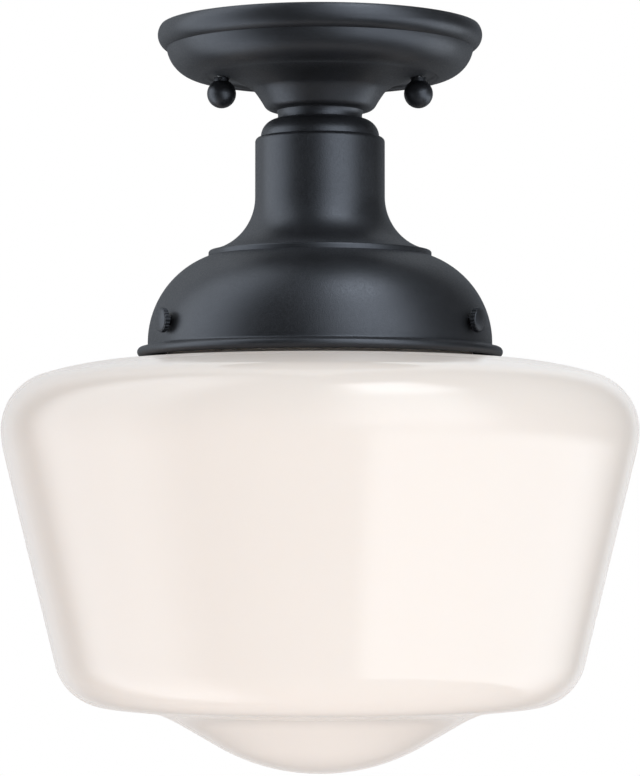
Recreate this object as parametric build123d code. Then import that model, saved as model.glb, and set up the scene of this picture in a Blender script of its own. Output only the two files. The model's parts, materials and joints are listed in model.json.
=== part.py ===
"""Semi flush ceiling light with one large opal glass globe.

Millimetres, +Z up. The origin is the middle of the ceiling strap's top face, in the ceiling plane,
and the light hangs below it. The front of the light, between two thumbscrews, faces -Y.
"""
from math import acos, asin, atan2, cos, degrees, radians, sin, sqrt, tan
import os

from build123d import *

# ---------------------------------------------------------------- driving dimensions
# Clearances
thread_gap = 0.05            # between a screw's shank and its tapped hole
running_gap = 0.06           # between parts that turn or slide on each other
seat_gap = 0.1               # between a moving part and what it rests against
hole_gap = 0.35              # round a screw in a plain clearance hole

# Ceiling straps
strap_thickness = 1.6
strap_width = 13.0
box_spacing_small = 69.85    # outlet box screws, closest
box_spacing_large = 88.9     # outlet box screws, widest
box_slot_width = 5.0
box_slot_land = 3.5          # metal past the end of a slot
stud_spacing = 88.9
stud_land = 6.5              # metal past a stud's centre
stud_bar_drop = 5.0          # how far the stud bar's ends are set down
joggle_start = 19.0
joggle_run = 5.0
eyelet_radius = 3.5
eyelet_bore = 2.8
eyelet_flare = 4.7
eyelet_flare_depth = 1.1
eyelet_flange_radius = 5.4
eyelet_flange_thickness = 0.7
ground_head_flats = 7.8
ground_head_height = 2.2
ground_flange_radius = 5.0
ground_flange_thickness = 0.8
ground_screw_tip = 1.2       # above the stud bar

# Canopy screws and their nuts
stud_radius = 2.08           # 8-32 machine screw
stud_head_radius = 3.9
stud_head_height = 2.2
stud_tip_below_ball = 1.0    # screw tip, below the centre of its ball nut
locknut_flats = 8.73
locknut_height = 3.1
ball_radius = 6.35
ball_neck_radius = 3.4
ball_drop = 8.6              # ball's centre below the canopy's dish

# Canopy: spun pan
canopy_wall = 0.9
canopy_side_run = 19.24      # ridge to the widest point of the bead
canopy_bead_radius = 6.74
canopy_bead_drop = 4.13      # ceiling to the widest point
canopy_side_radius = 15.4
canopy_dish_land = 9.55      # stud to the ridge, the lowest circle round the dish
canopy_ridge_drop = 23.33
canopy_ridge_nose = 1.3
canopy_dish_depth = 1.43
canopy_valley_radius = 2.0
canopy_trumpet_slope = 53.63  # degrees below level where the trumpet ends
canopy_hub_reach = 23.1      # where the trumpet turns into the hub's rounded foot
canopy_hub_round = 5.05

# Collar and cap under the canopy
collar_top_radius = 18.7
collar_foot_radius = 18.1
collar_height = 3.6
collar_cove_radius = 5.0
cap_wall = 1.1
cap_flat_radius = 18.5
cap_round = 8.2
cap_foot = 0.2

# Column: straight tube that flares into a bell
column_wall = 0.9
column_radius = 29.25
column_shoulder = 2.2
column_height = 51.45        # top of the column to the crown of the dome
flare_radius = 28.0
flare_end_slope = 17.0       # degrees below level where the flare meets its lip
lip_round = 1.1
lip_reach = 50.25

# Dome that holds the globe
dome_wall = 0.9
dome_flat_radius = 36.1
dome_bend = 41.35
dome_skirt = 0.75            # straight wall under the bend
rim_cove = 1.3
rim_land = 1.2
rim_bead = 2.25

# Nipple: threaded tube that clamps the stack
nipple_radius = 5.15
nipple_bore = 3.6
nipple_above_nut = 2.3
nipple_below_nut = 1.4
nipple_nut_flats = 14.3
nipple_nut_height = 3.0
washer_radius = 7.6
washer_thickness = 0.9
washer_teeth = 12
washer_tooth_depth = 1.3

# Thumbscrews and their bushes
screw_drop = 33.55           # dome's crown to the screws' axis
screw_radius = 2.08
screw_tip_overlap = 4.0      # how far a tip reaches in under the globe's lip
screw_head_radius = 5.45
screw_head_thickness = 2.5
screw_head_crown = 0.55
screw_head_standoff = 4.9    # dome's face to the crown of the head
screw_head_edge = 0.35
bush_radius = 4.2
bush_length = 3.1            # dome's face to the inner end of the bush
bush_spigot_radius = 3.2

# Socket and its bracket
bracket_thickness = 1.6
bracket_width = 13.0
bracket_bend = 2.0
socket_headroom = 17.0       # underside of the bracket's web to the top of the socket
socket_neck_radius = 17.5
socket_neck_flats = 31.0     # across the two flats that take the bracket's legs
socket_neck_height = 13.0
socket_wall = 6.4
socket_body_height = 27.5
socket_edge = 2.0
bracket_screw_radius = 1.75
bracket_screw_head = 3.4
bracket_screw_head_height = 2.0
bracket_screw_length = 6.0
bracket_screw_drop = 6.5     # below the top of the socket
shell_wall = 0.4
shell_clearance = 0.25       # round the screw shell, in the porcelain
cap_clearance = 0.35         # round the lamp's cap, in the screw shell
shell_hole = 7.0
contact_boss_radius = 5.5
contact_boss_height = 1.6
contact_radius = 4.0
contact_thickness = 0.6
terminal_head_radius = 3.3
terminal_head_height = 1.8
terminal_screw_radius = 1.75
terminal_screw_length = 5.0

# Lamp: medium screw base, pear shaped envelope
lamp_contact_radius = 4.4
lamp_contact_height = 1.0
lamp_insulator_radius = 11.2
lamp_insulator_height = 3.4
lamp_cap_radius = 13.1
lamp_cap_height = 22.0
lamp_cap_wall = 0.4
lamp_neck_step = 0.6         # the glass stands out past its cap
lamp_neck_length = 11.0
lamp_bulb_radius = 30.0
lamp_bulb_drop = 78.0        # tip of the cap to the middle of the round part
lamp_glass_wall = 0.8
lamp_tip_gap = 0.2

# Wiring
lead_radius = 1.2
ground_wire_radius = 0.65
ground_wire_lane = 35.0      # degrees, where the wire runs down in the nipple's bore
ground_wire_bend = 6.0
ground_wire_end_bend = 2.0
ground_wire_drop = 3.0       # nipple's foot to the level where the wire leaves for the bracket
connector_mouth_radius = 6.0
connector_tip_radius = 3.6
connector_length = 21.0
connector_bore_depth = 8.0
connector_mouth_x = 15.0     # middle of a connector's mouth, to the side
connector_mouth_y = -19.0
connector_mouth_z = -13.5
connector_slant = 62.0       # degrees, a connector's turn from the X axis towards the front
lead_rise = 9.0              # nipple's top to the level where a lead bends over
lead_bend = 3.4              # under the socket bracket
lead_loop = 6.0              # over the nipple
lead_mouth_bend = 9.0        # at the connector's mouth

# Globe: blown opal glass
glass_wall = 3.2
lip_clearance = 3.55         # dome's inside to the lip
lip_height = 5.0
lip_edge = 1.2
lip_overhang = 4.5           # how far the lip stands out over the groove under it
neck_height = 18.2           # underside of the lip to the flat of the shoulder
neck_fillet = 5.0
globe_reach = 142.9          # widest
crown_radius = 150.0         # gentle dome of the shoulder
crown_slope = 17.0           # degrees, where the crown turns into the round shoulder
shoulder_round = 25.5
waist_round = 44.0
taper = 13.8                 # degrees off vertical
taper_height = 94.8
foot_round = 24.3
foot_slope = 6.3             # degrees, underside of the foot
notch_radius = 75.9
bowl_start_slope = 16.0
bowl_cove = 55.0
bowl_slope = 30.0            # degrees, steepest part of the bowl
bowl_radius = 92.0

# ---------------------------------------------------------------- levels, from the ceiling down
box_bar_z = 0.0
stud_bar_z = box_bar_z - strap_thickness - seat_gap
stud_bar_end_z = stud_bar_z - stud_bar_drop
stud_bar_foot_z = stud_bar_end_z - strap_thickness
stud_reach = stud_spacing / 2

canopy_ridge_reach = stud_reach + canopy_dish_land
canopy_reach = canopy_ridge_reach + canopy_side_run
dish_z = -canopy_ridge_drop + canopy_dish_depth
dish_rise = degrees(acos(1 - canopy_dish_depth / (canopy_ridge_nose + canopy_valley_radius)))
valley_reach = canopy_ridge_reach - (canopy_ridge_nose + canopy_valley_radius) * sin(radians(dish_rise))
trumpet_radius = (valley_reach - canopy_hub_reach) / sin(radians(canopy_trumpet_slope))
hub_z = dish_z - (trumpet_radius + canopy_hub_round) * (1 - cos(radians(canopy_trumpet_slope)))
ball_z = dish_z - ball_drop
stud_tip_z = ball_z - stud_tip_below_ball

collar_z = hub_z
cap_z = collar_z - collar_height
column_z = cap_z - cap_round - cap_foot
dome_z = column_z - column_height
dome_under_z = dome_z - dome_wall
dome_centre_z = dome_z - dome_bend
dome_reach = dome_flat_radius + dome_bend
skirt_z = dome_centre_z - dome_skirt
rim_z = skirt_z - rim_cove - 2 * rim_bead

screw_z = dome_z - screw_drop
dome_face_reach = dome_flat_radius + sqrt(dome_bend ** 2 - (screw_z - dome_centre_z) ** 2)
screw_head_reach = dome_face_reach + screw_head_standoff
bush_reach = dome_face_reach - bush_length
lip_radius = dome_reach - dome_wall - lip_clearance
neck_radius = lip_radius - lip_overhang
screw_tip_reach = lip_radius - screw_tip_overlap
lip_under_z = screw_z + screw_radius + seat_gap
lip_top_z = lip_under_z + lip_height
shoulder_z = lip_under_z - neck_height

bracket_under_z = dome_under_z - bracket_thickness
nipple_foot_z = bracket_under_z - washer_thickness - nipple_nut_height - nipple_below_nut
top_washer_z = hub_z + canopy_wall + washer_thickness
nipple_top_z = top_washer_z + nipple_nut_height + nipple_above_nut
nipple_hole = nipple_radius + thread_gap

lamp_neck_radius = lamp_cap_radius + lamp_neck_step
shell_radius = lamp_cap_radius + cap_clearance + shell_wall
socket_cavity_radius = shell_radius + shell_clearance
socket_radius = socket_cavity_radius + socket_wall
socket_z = bracket_under_z - socket_headroom
socket_step_z = socket_z - socket_neck_height
socket_foot_z = socket_step_z - socket_body_height
bracket_screw_z = socket_z - bracket_screw_drop
bracket_reach = socket_neck_flats / 2 + bracket_thickness
contact_z = socket_step_z - contact_boss_height
lamp_tip_z = contact_z - contact_thickness - lamp_tip_gap
lamp_insulator_z = lamp_tip_z - lamp_contact_height
lamp_cap_z = lamp_insulator_z - lamp_insulator_height
lamp_cap_foot_z = lamp_cap_z - lamp_cap_height
lamp_middle_z = lamp_tip_z - lamp_bulb_drop

SCREW_DIRECTIONS = {"left": 210, "right": 330, "back": 90}


# ---------------------------------------------------------------- helpers
def arc(centre, radius, start, end):
    """Arc round a centre from one direction to another, in degrees."""
    return CenterArc(centre, radius, start, end - start)


def polar(centre, radius, direction):
    """Point at a distance and direction from a centre."""
    return (centre[0] + radius * cos(radians(direction)), centre[1] + radius * sin(radians(direction)))


def direction_to(centre, point):
    """Direction from a centre to a point, in degrees."""
    return degrees(atan2(point[1] - centre[1], point[0] - centre[0]))


def turn(profile):
    """Solid of revolution about the light's axis; the profile's x is radius, its y is height."""
    return revolve(Plane.XZ * profile, Axis.Z)


def turned(*points):
    """Solid of revolution of a straight-sided profile."""
    return turn(make_face(Polyline(*points, close=True)))


def spun(outline, wall):
    """Sheet or glass wall: an outline drawn from top to bottom, thickened towards the inside."""
    path = Wire([edge for line in outline for edge in line.edges()])
    return turn(make_face(offset(path, wall, side=Side.RIGHT)))


def disc(radius, top, bottom, bore=0.0):
    """Disc or ring about the light's axis."""
    return turned((bore, top), (radius, top), (radius, bottom), (bore, bottom))


def rod(radius, start, end, x=0.0, y=0.0):
    """Upright rod from one level to another."""
    return Pos(x, y, (start + end) / 2) * Cylinder(radius, abs(start - end))


def radial_rod(radius, inner, outer, height):
    """Rod along +X between two distances from the axis."""
    middle = Pos((inner + outer) / 2, 0, height)
    return middle * Rot(0, 90, 0) * Cylinder(radius, outer - inner)


def hexagon(flats, top, bottom, bore):
    """Hex nut with its bore."""
    nut = extrude(Pos(0, 0, bottom) * RegularPolygon(flats / 2, 6, major_radius=False), top - bottom)
    return nut - rod(bore, top, bottom)


def tube(radius, points, radii):
    """Round wire along straight runs joined by tangent arcs."""
    path = FilletPolyline(*points, radius=radii)
    section = Plane(origin=path @ 0, z_dir=path % 0) * Circle(radius)
    return sweep(section, path=path)


def save(node, shape):
    """Write one node as a STEP file."""
    shape.label = node
    export_step(shape, "parts/" + node + ".step")


# ---------------------------------------------------------------- ceiling straps
def box_bar():
    """Strap that is screwed to the outlet box, slotted for its screws."""
    slot_reach = (box_spacing_small + box_spacing_large) / 4
    slot_length = (box_spacing_large - box_spacing_small) / 2 + box_slot_width
    length = 2 * (slot_reach + slot_length / 2 + box_slot_land)
    outline = Rot(0, 0, 90) * RectangleRounded(length, strap_width, strap_width / 2 - seat_gap)
    for side in (-1, 1):
        outline -= Pos(0, side * slot_reach) * Rot(0, 0, 90) * SlotOverall(slot_length, box_slot_width)
    bar = extrude(Pos(0, 0, box_bar_z - strap_thickness) * outline, strap_thickness)
    shank = rod(eyelet_radius, box_bar_z, box_bar_z - strap_thickness)
    return bar - shank - eyelet_head()


def eyelet_head():
    """Flared head of the eyelet, flush with the box bar's top face."""
    foot = box_bar_z - eyelet_flare_depth
    return turned((0, box_bar_z), (eyelet_flare, box_bar_z), (eyelet_radius, foot), (0, foot))


def bar_eyelet():
    """Tubular rivet on which the stud bar swivels under the box bar."""
    flange_z = stud_bar_z - strap_thickness - seat_gap
    foot = flange_z - eyelet_flange_thickness
    rivet = eyelet_head() + disc(eyelet_radius, box_bar_z, foot)
    rivet += disc(eyelet_flange_radius, flange_z, foot)
    return rivet - rod(eyelet_bore, box_bar_z, foot)


def ground_screw_x():
    """Place of the ground screw, between the joggle and the stud."""
    return (joggle_start + joggle_run + stud_reach) / 2 - stud_land / 4


def stud_bar():
    """Strap with set-down ends, tapped for the canopy's studs and the ground screw."""
    end = stud_reach + stud_land
    step = joggle_start + joggle_run
    side = Polyline((-end, stud_bar_end_z), (-step, stud_bar_end_z), (-joggle_start, stud_bar_z),
                    (joggle_start, stud_bar_z), (step, stud_bar_end_z), (end, stud_bar_end_z))
    strip = make_face(offset(side, strap_thickness, side=Side.RIGHT))
    bar = extrude(Plane.XZ * strip, strap_width / 2, both=True)
    plan = RectangleRounded(2 * end, strap_width, strap_width / 2 - seat_gap)
    bar &= extrude(Pos(0, 0, stud_bar_foot_z) * plan, -stud_bar_foot_z)
    for place in (-stud_reach, stud_reach, ground_screw_x()):
        bar -= rod(stud_radius + thread_gap, 0, stud_bar_foot_z * 2, x=place)
    return bar - rod(eyelet_radius + running_gap, 0, stud_bar_foot_z)


def canopy_studs():
    """Two machine screws, head on the stud bar, hanging down through the canopy."""
    studs = []
    for side in (-1, 1):
        head = rod(stud_head_radius, stud_bar_end_z, stud_bar_end_z + stud_head_height, x=side * stud_reach)
        head = fillet(head.edges().group_by(Axis.Z)[-1], stud_head_height / 2)
        studs.append(head + rod(stud_radius, stud_bar_end_z, stud_tip_z, x=side * stud_reach))
    return Compound(studs)


def stud_locknuts():
    """Hex nuts that lock the studs under the strap."""
    nut = hexagon(locknut_flats, stud_bar_foot_z, stud_bar_foot_z - locknut_height, stud_radius + thread_gap)
    return Compound([Pos(side * stud_reach, 0, 0) * nut for side in (-1, 1)])


def ground_screw():
    """Hex washer head screw from below, with the ground wire under its head."""
    place = ground_screw_x()
    washer_z = stud_bar_foot_z - 2 * ground_wire_radius
    hexagon_face = RegularPolygon(ground_head_flats / 2, 6, major_radius=False)
    head = extrude(Pos(place, 0, washer_z) * hexagon_face, -ground_head_height)
    flange = rod(ground_flange_radius, washer_z, washer_z - ground_flange_thickness, x=place)
    return head + flange + rod(stud_radius, stud_bar_end_z + ground_screw_tip, washer_z, x=place)


# ---------------------------------------------------------------- canopy and its ball nuts
def canopy():
    """Spun pan: bead at the ceiling, round side, ridge, dish and trumpet hub."""
    bead = (canopy_reach - canopy_bead_radius, -canopy_bead_drop)
    side = (canopy_ridge_reach, canopy_side_radius - canopy_ridge_drop)
    crease = crossing(bead, canopy_bead_radius, side, canopy_side_radius)
    nose = (canopy_ridge_reach, canopy_ridge_nose - canopy_ridge_drop)
    valley = (valley_reach, dish_z - canopy_valley_radius)
    trumpet = (valley_reach, dish_z - trumpet_radius)
    steep = canopy_trumpet_slope
    foot = (canopy_hub_reach - canopy_hub_round * sin(radians(steep)), hub_z + canopy_hub_round)
    outline = [
        arc(bead, canopy_bead_radius, 90, direction_to(bead, crease)),
        arc(side, canopy_side_radius, direction_to(side, crease), -90),
        arc(nose, canopy_ridge_nose, 270, 270 - dish_rise),
        arc(valley, canopy_valley_radius, 90 - dish_rise, 90),
        arc(trumpet, trumpet_radius, 90, 90 + steep),
        arc(foot, canopy_hub_round, steep - 90, -90),
        Line((foot[0], hub_z), (nipple_hole, hub_z)),
    ]
    pan = spun(outline, canopy_wall)
    pan -= disc(canopy_reach, canopy_bead_radius, 0)
    for place in (-stud_reach, stud_reach):
        pan -= rod(stud_radius + hole_gap, 0, hub_z, x=place)
    return pan


def crossing(centre_a, radius_a, centre_b, radius_b):
    """Lower crossing of two circles."""
    run, rise = centre_b[0] - centre_a[0], centre_b[1] - centre_a[1]
    apart = sqrt(run ** 2 + rise ** 2)
    along = (radius_a ** 2 - radius_b ** 2 + apart ** 2) / (2 * apart)
    across = sqrt(radius_a ** 2 - along ** 2)
    x = centre_a[0] + along * run / apart - across * rise / apart
    y = centre_a[1] + along * rise / apart + across * run / apart
    return (x, y)


def dish_height(reach):
    """Height of the canopy's dish at a distance from the axis."""
    return dish_z - trumpet_radius + sqrt(trumpet_radius ** 2 - (valley_reach - reach) ** 2)


def ball_nut(side):
    """Ball shaped cap nut under the canopy's dish."""
    neck_z = dish_height(stud_reach - ball_neck_radius) - seat_gap
    place = side * stud_reach
    ball = Pos(place, 0, ball_z) * Sphere(ball_radius)
    ball += rod(ball_neck_radius, neck_z, ball_z, x=place)
    return ball - rod(stud_radius + running_gap, neck_z, stud_tip_z - seat_gap, x=place)


# ---------------------------------------------------------------- collar, cap and column
def collar():
    """Short turned ring between the hub and the cap, with a slight cove."""
    foot_z = collar_z - collar_height
    edge = RadiusArc((collar_top_radius, collar_z), (collar_foot_radius, foot_z), -collar_cove_radius)
    rest = Polyline(edge @ 1, (nipple_hole, foot_z), (nipple_hole, collar_z), edge @ 0)
    return turn(make_face([edge, rest]))


def column_cap():
    """Quarter round cap on top of the column."""
    reach = cap_flat_radius + cap_round
    outline = [
        Line((nipple_hole, cap_z), (cap_flat_radius, cap_z)),
        arc((cap_flat_radius, cap_z - cap_round), cap_round, 90, 0),
        Line((reach, cap_z - cap_round), (reach, column_z)),
    ]
    return spun(outline, cap_wall)


def column():
    """Tube with a closed top that flares into a bell, with a rolled lip that rests on the dome."""
    lip_x = lip_reach - lip_round
    dome_bend_centre = (dome_flat_radius, dome_centre_z)
    lip = (lip_x, dome_centre_z + sqrt((dome_bend + lip_round) ** 2 - (lip_x - dome_flat_radius) ** 2))
    flare_end = polar(lip, lip_round, 90 - flare_end_slope)
    flare_x = column_radius + flare_radius
    flare_turn = degrees(acos((flare_x - flare_end[0]) / flare_radius))
    flare_z = flare_end[1] + flare_radius * sin(radians(flare_turn))
    shoulder = (column_radius - column_shoulder, column_z - column_shoulder)
    outline = [
        Line((nipple_hole, column_z), (shoulder[0], column_z)),
        arc(shoulder, column_shoulder, 90, 0),
        Line((column_radius, shoulder[1]), (column_radius, flare_z)),
        arc((flare_x, flare_z), flare_radius, 180, 180 + flare_turn),
        arc(lip, lip_round, 90 - flare_end_slope, direction_to(lip, dome_bend_centre)),
    ]
    return spun(outline, column_wall)


# ---------------------------------------------------------------- dome
def dome_outline():
    """Outer face of the dome, from the nipple's hole to the rim's curl."""
    skirt = (dome_reach, skirt_z)
    bead = (dome_reach + rim_cove + rim_land, rim_z + rim_bead)
    return [
        Line((nipple_hole, dome_z), (dome_flat_radius, dome_z)),
        arc((dome_flat_radius, dome_centre_z), dome_bend, 90, 0),
        Line((dome_reach, dome_centre_z), skirt),
        arc((dome_reach + rim_cove, skirt_z), rim_cove, 180, 270),
        Line((dome_reach + rim_cove, skirt_z - rim_cove), (bead[0], skirt_z - rim_cove)),
        arc(bead, rim_bead, 90, -90),
    ]


def dome_space(inset):
    """Solid that fills the dome down to its skirt, inset from the outer face."""
    bend = dome_bend - inset
    side = arc((dome_flat_radius, dome_centre_z), bend, 90, 0)
    rest = Polyline(side @ 1, (dome_flat_radius + bend, skirt_z), (0, skirt_z), (0, dome_z - inset), side @ 0)
    return turn(make_face([side, rest]))


def fitter_dome():
    """Wide spun dome with a curled rim and three holes for the screw bushes."""
    dome = spun(dome_outline(), dome_wall)
    for direction in SCREW_DIRECTIONS.values():
        dome -= Rot(0, 0, direction) * radial_rod(bush_spigot_radius, neck_radius, screw_head_reach, screw_z)
    return dome


def screw_bushes():
    """Tapped bushes riveted into the dome's wall."""
    flange = radial_rod(bush_radius, bush_reach, screw_head_reach, screw_z) & dome_space(dome_wall)
    spigot = radial_rod(bush_spigot_radius, bush_reach, screw_head_reach, screw_z) & dome_space(0)
    bush = flange + spigot
    bush -= radial_rod(screw_radius + running_gap, neck_radius, screw_head_reach, screw_z)
    return Compound([Rot(0, 0, direction) * bush for direction in SCREW_DIRECTIONS.values()])


def thumbscrew(direction):
    """Thumbscrew: shank, and a disc head with a slightly domed face."""
    back = screw_head_reach - screw_head_crown - screw_head_thickness
    face = screw_head_reach - screw_head_crown
    shank = radial_rod(screw_radius, screw_tip_reach, back, screw_z)
    edge = screw_head_edge
    outline = [
        Polyline((face, 0), (back, 0), (back, screw_head_radius - edge), (back + edge, screw_head_radius),
                 (face - edge, screw_head_radius), (face, screw_head_radius - edge)),
        ThreePointArc((face, screw_head_radius - edge), crown_middle(face), (screw_head_reach, 0)),
        Line((screw_head_reach, 0), (face, 0)),
    ]
    head = Pos(0, 0, screw_z) * revolve(Plane.XZ * make_face(outline), Axis.X)
    return Rot(0, 0, direction) * (shank + head)


def crown_middle(face):
    """Point half way along the low crown of a thumbscrew's head."""
    reach = screw_head_radius - screw_head_edge
    radius = (reach ** 2 + screw_head_crown ** 2) / (2 * screw_head_crown)
    half = asin(reach / radius) / 2
    return (face + screw_head_crown - radius * (1 - cos(half)), radius * sin(half))


# ---------------------------------------------------------------- nipple and what it clamps
def nipple():
    """Threaded tube through the whole stack."""
    return disc(nipple_radius, nipple_top_z, nipple_foot_z, nipple_bore)


def nipple_nut(top):
    """Hex nut on the nipple."""
    return hexagon(nipple_nut_flats, top, top - nipple_nut_height, nipple_radius + thread_gap)


def lock_washers():
    """Toothed washers under both nuts."""
    washer = disc(washer_radius, washer_thickness, 0, nipple_radius + thread_gap)
    notch = Pos(washer_radius, 0, washer_thickness / 2)
    notch *= Box(2 * washer_tooth_depth, washer_tooth_depth, washer_thickness)
    for index in range(washer_teeth):
        washer -= Rot(0, 0, 360 * index / washer_teeth) * notch
    upper = Pos(0, 0, top_washer_z - washer_thickness) * washer
    lower = Pos(0, 0, bracket_under_z - washer_thickness) * washer
    return Compound([upper, lower])


# ---------------------------------------------------------------- socket
def socket_bracket():
    """Steel stirrup: web under the dome, legs down both sides of the socket's neck."""
    foot = socket_step_z + seat_gap
    side = FilletPolyline((-bracket_reach, foot), (-bracket_reach, dome_under_z),
                          (bracket_reach, dome_under_z), (bracket_reach, foot), radius=bracket_bend)
    strip = make_face(offset(side, bracket_thickness, side=Side.RIGHT))
    bracket = extrude(Plane.XZ * strip, bracket_width / 2, both=True)
    bracket -= rod(nipple_hole, dome_z, socket_z)
    return bracket - radial_rod(bracket_screw_radius + thread_gap, -socket_radius, socket_radius, bracket_screw_z)


def bracket_screws():
    """Round head screws through the bracket's legs into the socket."""
    inner = bracket_reach - bracket_screw_length
    screw = radial_rod(bracket_screw_radius, inner, bracket_reach, bracket_screw_z)
    head = radial_rod(bracket_screw_head, bracket_reach, bracket_reach + bracket_screw_head_height, bracket_screw_z)
    screw += fillet(head.edges().group_by(Axis.X)[-1], bracket_screw_head_height / 2)
    return Compound([Rot(0, 0, direction) * screw for direction in (0, 180)])


def socket_body():
    """Porcelain body: flatted neck, round skirt and the cavity for the lamp's cap."""
    neck = rod(socket_neck_radius, socket_z, socket_step_z)
    middle_z = (socket_z + socket_step_z) / 2
    neck &= Pos(0, 0, middle_z) * Box(socket_neck_flats, 2 * socket_neck_radius, socket_neck_height)
    neck = chamfer(neck.edges().group_by(Axis.Z)[-1], socket_edge / 2)
    skirt = rod(socket_radius, socket_step_z, socket_foot_z)
    skirt = fillet(skirt.edges().filter_by(GeomType.CIRCLE), socket_edge)
    body = neck + skirt
    body -= disc(socket_cavity_radius, socket_step_z, socket_foot_z)
    body += disc(contact_boss_radius, socket_step_z, contact_z)
    holes = radial_rod(bracket_screw_radius + thread_gap, bracket_reach - bracket_screw_length, socket_radius,
                       bracket_screw_z)
    body -= holes + Rot(0, 0, 180) * holes
    inner = socket_neck_radius - terminal_screw_length
    drilled = radial_rod(terminal_screw_radius + thread_gap, inner, socket_radius, bracket_screw_z)
    return body - Rot(0, 0, 90) * drilled - Rot(0, 0, 270) * drilled


def socket_shell():
    """Screw shell that takes the lamp's cap."""
    top = socket_step_z - thread_gap
    shell = disc(shell_radius, top, socket_foot_z + socket_edge, shell_radius - shell_wall)
    return shell + disc(shell_radius, top, top - shell_wall, shell_hole)


def socket_contact():
    """Centre contact on the porcelain boss."""
    return disc(contact_radius, contact_z, contact_z - contact_thickness)


def terminal_screws():
    """Wire terminals on the socket's neck, front and back."""
    inner = socket_neck_radius - terminal_screw_length
    start = socket_neck_radius + 2 * ground_wire_radius
    screw = radial_rod(terminal_screw_radius, inner, start, bracket_screw_z)
    head = radial_rod(terminal_head_radius, start, start + terminal_head_height, bracket_screw_z)
    screw += fillet(head.edges().group_by(Axis.X)[-1], terminal_head_height / 2)
    return Compound([Rot(0, 0, direction) * screw for direction in (90, 270)])


# ---------------------------------------------------------------- lamp
def bulb_contact():
    """Centre contact of the lamp."""
    return disc(lamp_contact_radius, lamp_tip_z, lamp_insulator_z)


def bulb_insulator():
    """Glass insulator between contact and cap."""
    return turned((0, lamp_insulator_z), (lamp_contact_radius, lamp_insulator_z),
                  (lamp_insulator_radius, lamp_cap_z), (0, lamp_cap_z))


def bulb_cap():
    """Screw cap of the lamp."""
    return disc(lamp_cap_radius, lamp_cap_z, lamp_cap_foot_z, lamp_cap_radius - lamp_cap_wall) + disc(
        lamp_cap_radius, lamp_cap_z, lamp_cap_z - lamp_cap_wall)


def bulb_glass():
    """Pear shaped envelope."""
    inside = lamp_cap_radius - lamp_cap_wall - seat_gap
    neck_z = lamp_cap_foot_z - lamp_neck_length
    middle = (0, lamp_middle_z)
    rise = neck_z - lamp_middle_z
    join = tangent_direction(lamp_neck_radius, rise, lamp_bulb_radius)
    start = polar(middle, lamp_bulb_radius, join)
    outline = [
        Polyline((inside, lamp_cap_foot_z + lamp_cap_wall), (inside, lamp_cap_foot_z - seat_gap),
                 (lamp_neck_radius, lamp_cap_foot_z - seat_gap), (lamp_neck_radius, neck_z), start),
        arc(middle, lamp_bulb_radius, join, -90),
    ]
    return spun(outline, lamp_glass_wall)


def tangent_direction(reach, rise, radius):
    """Direction in which a line from a point touches a circle about the origin, on the outer side."""
    away = sqrt(reach ** 2 + rise ** 2)
    return degrees(atan2(rise, reach) - acos(radius / away))


# ---------------------------------------------------------------- wiring
def lead(side):
    """Insulated lead from a socket terminal up through the nipple to its connector."""
    terminal_y = side * (socket_neck_radius + lead_radius + seat_gap)
    inside_y = side * (lead_radius + seat_gap)
    bend_z = (nipple_foot_z + socket_z) / 2 - lead_radius / 2
    mouth = connector_mouth(side)
    start_z = bracket_screw_z + terminal_head_radius + seat_gap
    points = [
        (0, terminal_y, start_z),
        (0, terminal_y, bend_z),
        (0, inside_y, bend_z),
        (0, inside_y, nipple_top_z + lead_rise),
        (mouth[0] / 2, inside_y - lead_rise, mouth[2]),
        mouth,
    ]
    run = connector_run(side)
    points.append(tuple(mouth[i] + run[i] * connector_bore_depth for i in range(3)))
    return tube(lead_radius, points, [lead_bend, lead_bend, lead_loop, lead_loop, lead_mouth_bend])


def connector_mouth(side):
    """Mouth of the twist-on connector on a lead."""
    return (side * connector_mouth_x, connector_mouth_y, connector_mouth_z)


def connector_run(side):
    """Direction in which a connector points away from its mouth."""
    slant = radians(connector_slant)
    return (side * cos(slant), -sin(slant), 0.0)


def wire_connectors():
    """Twist-on connectors on the two leads."""
    connectors = []
    for side in (-1, 1):
        mouth = connector_mouth(side)
        run = connector_run(side)
        middle = tuple(mouth[i] + run[i] * connector_length / 2 for i in range(3))
        place = Plane(origin=middle, z_dir=run)
        cone = place * Cone(connector_mouth_radius, connector_tip_radius, connector_length)
        bore = Plane(origin=mouth, z_dir=run) * Pos(0, 0, connector_bore_depth / 2)
        bore *= Cylinder(lead_radius + seat_gap, connector_bore_depth)
        connectors.append(cone - bore)
    return Compound(connectors)


def ground_wire():
    """Bare wire from the ground screw down the nipple to the socket bracket."""
    wire_z = stud_bar_foot_z - ground_wire_radius
    start = ground_screw_x() - stud_radius - ground_wire_radius - seat_gap
    lane = polar((0, 0), nipple_bore - ground_wire_radius - seat_gap, ground_wire_lane)
    exit_z = nipple_foot_z - ground_wire_drop
    points = [
        (start, 0, wire_z),
        (*lane, wire_z),
        (*lane, exit_z),
        (bracket_reach - bracket_thickness - ground_wire_radius - seat_gap, 0, exit_z),
    ]
    return tube(ground_wire_radius, points, [ground_wire_bend, ground_wire_end_bend])


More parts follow.
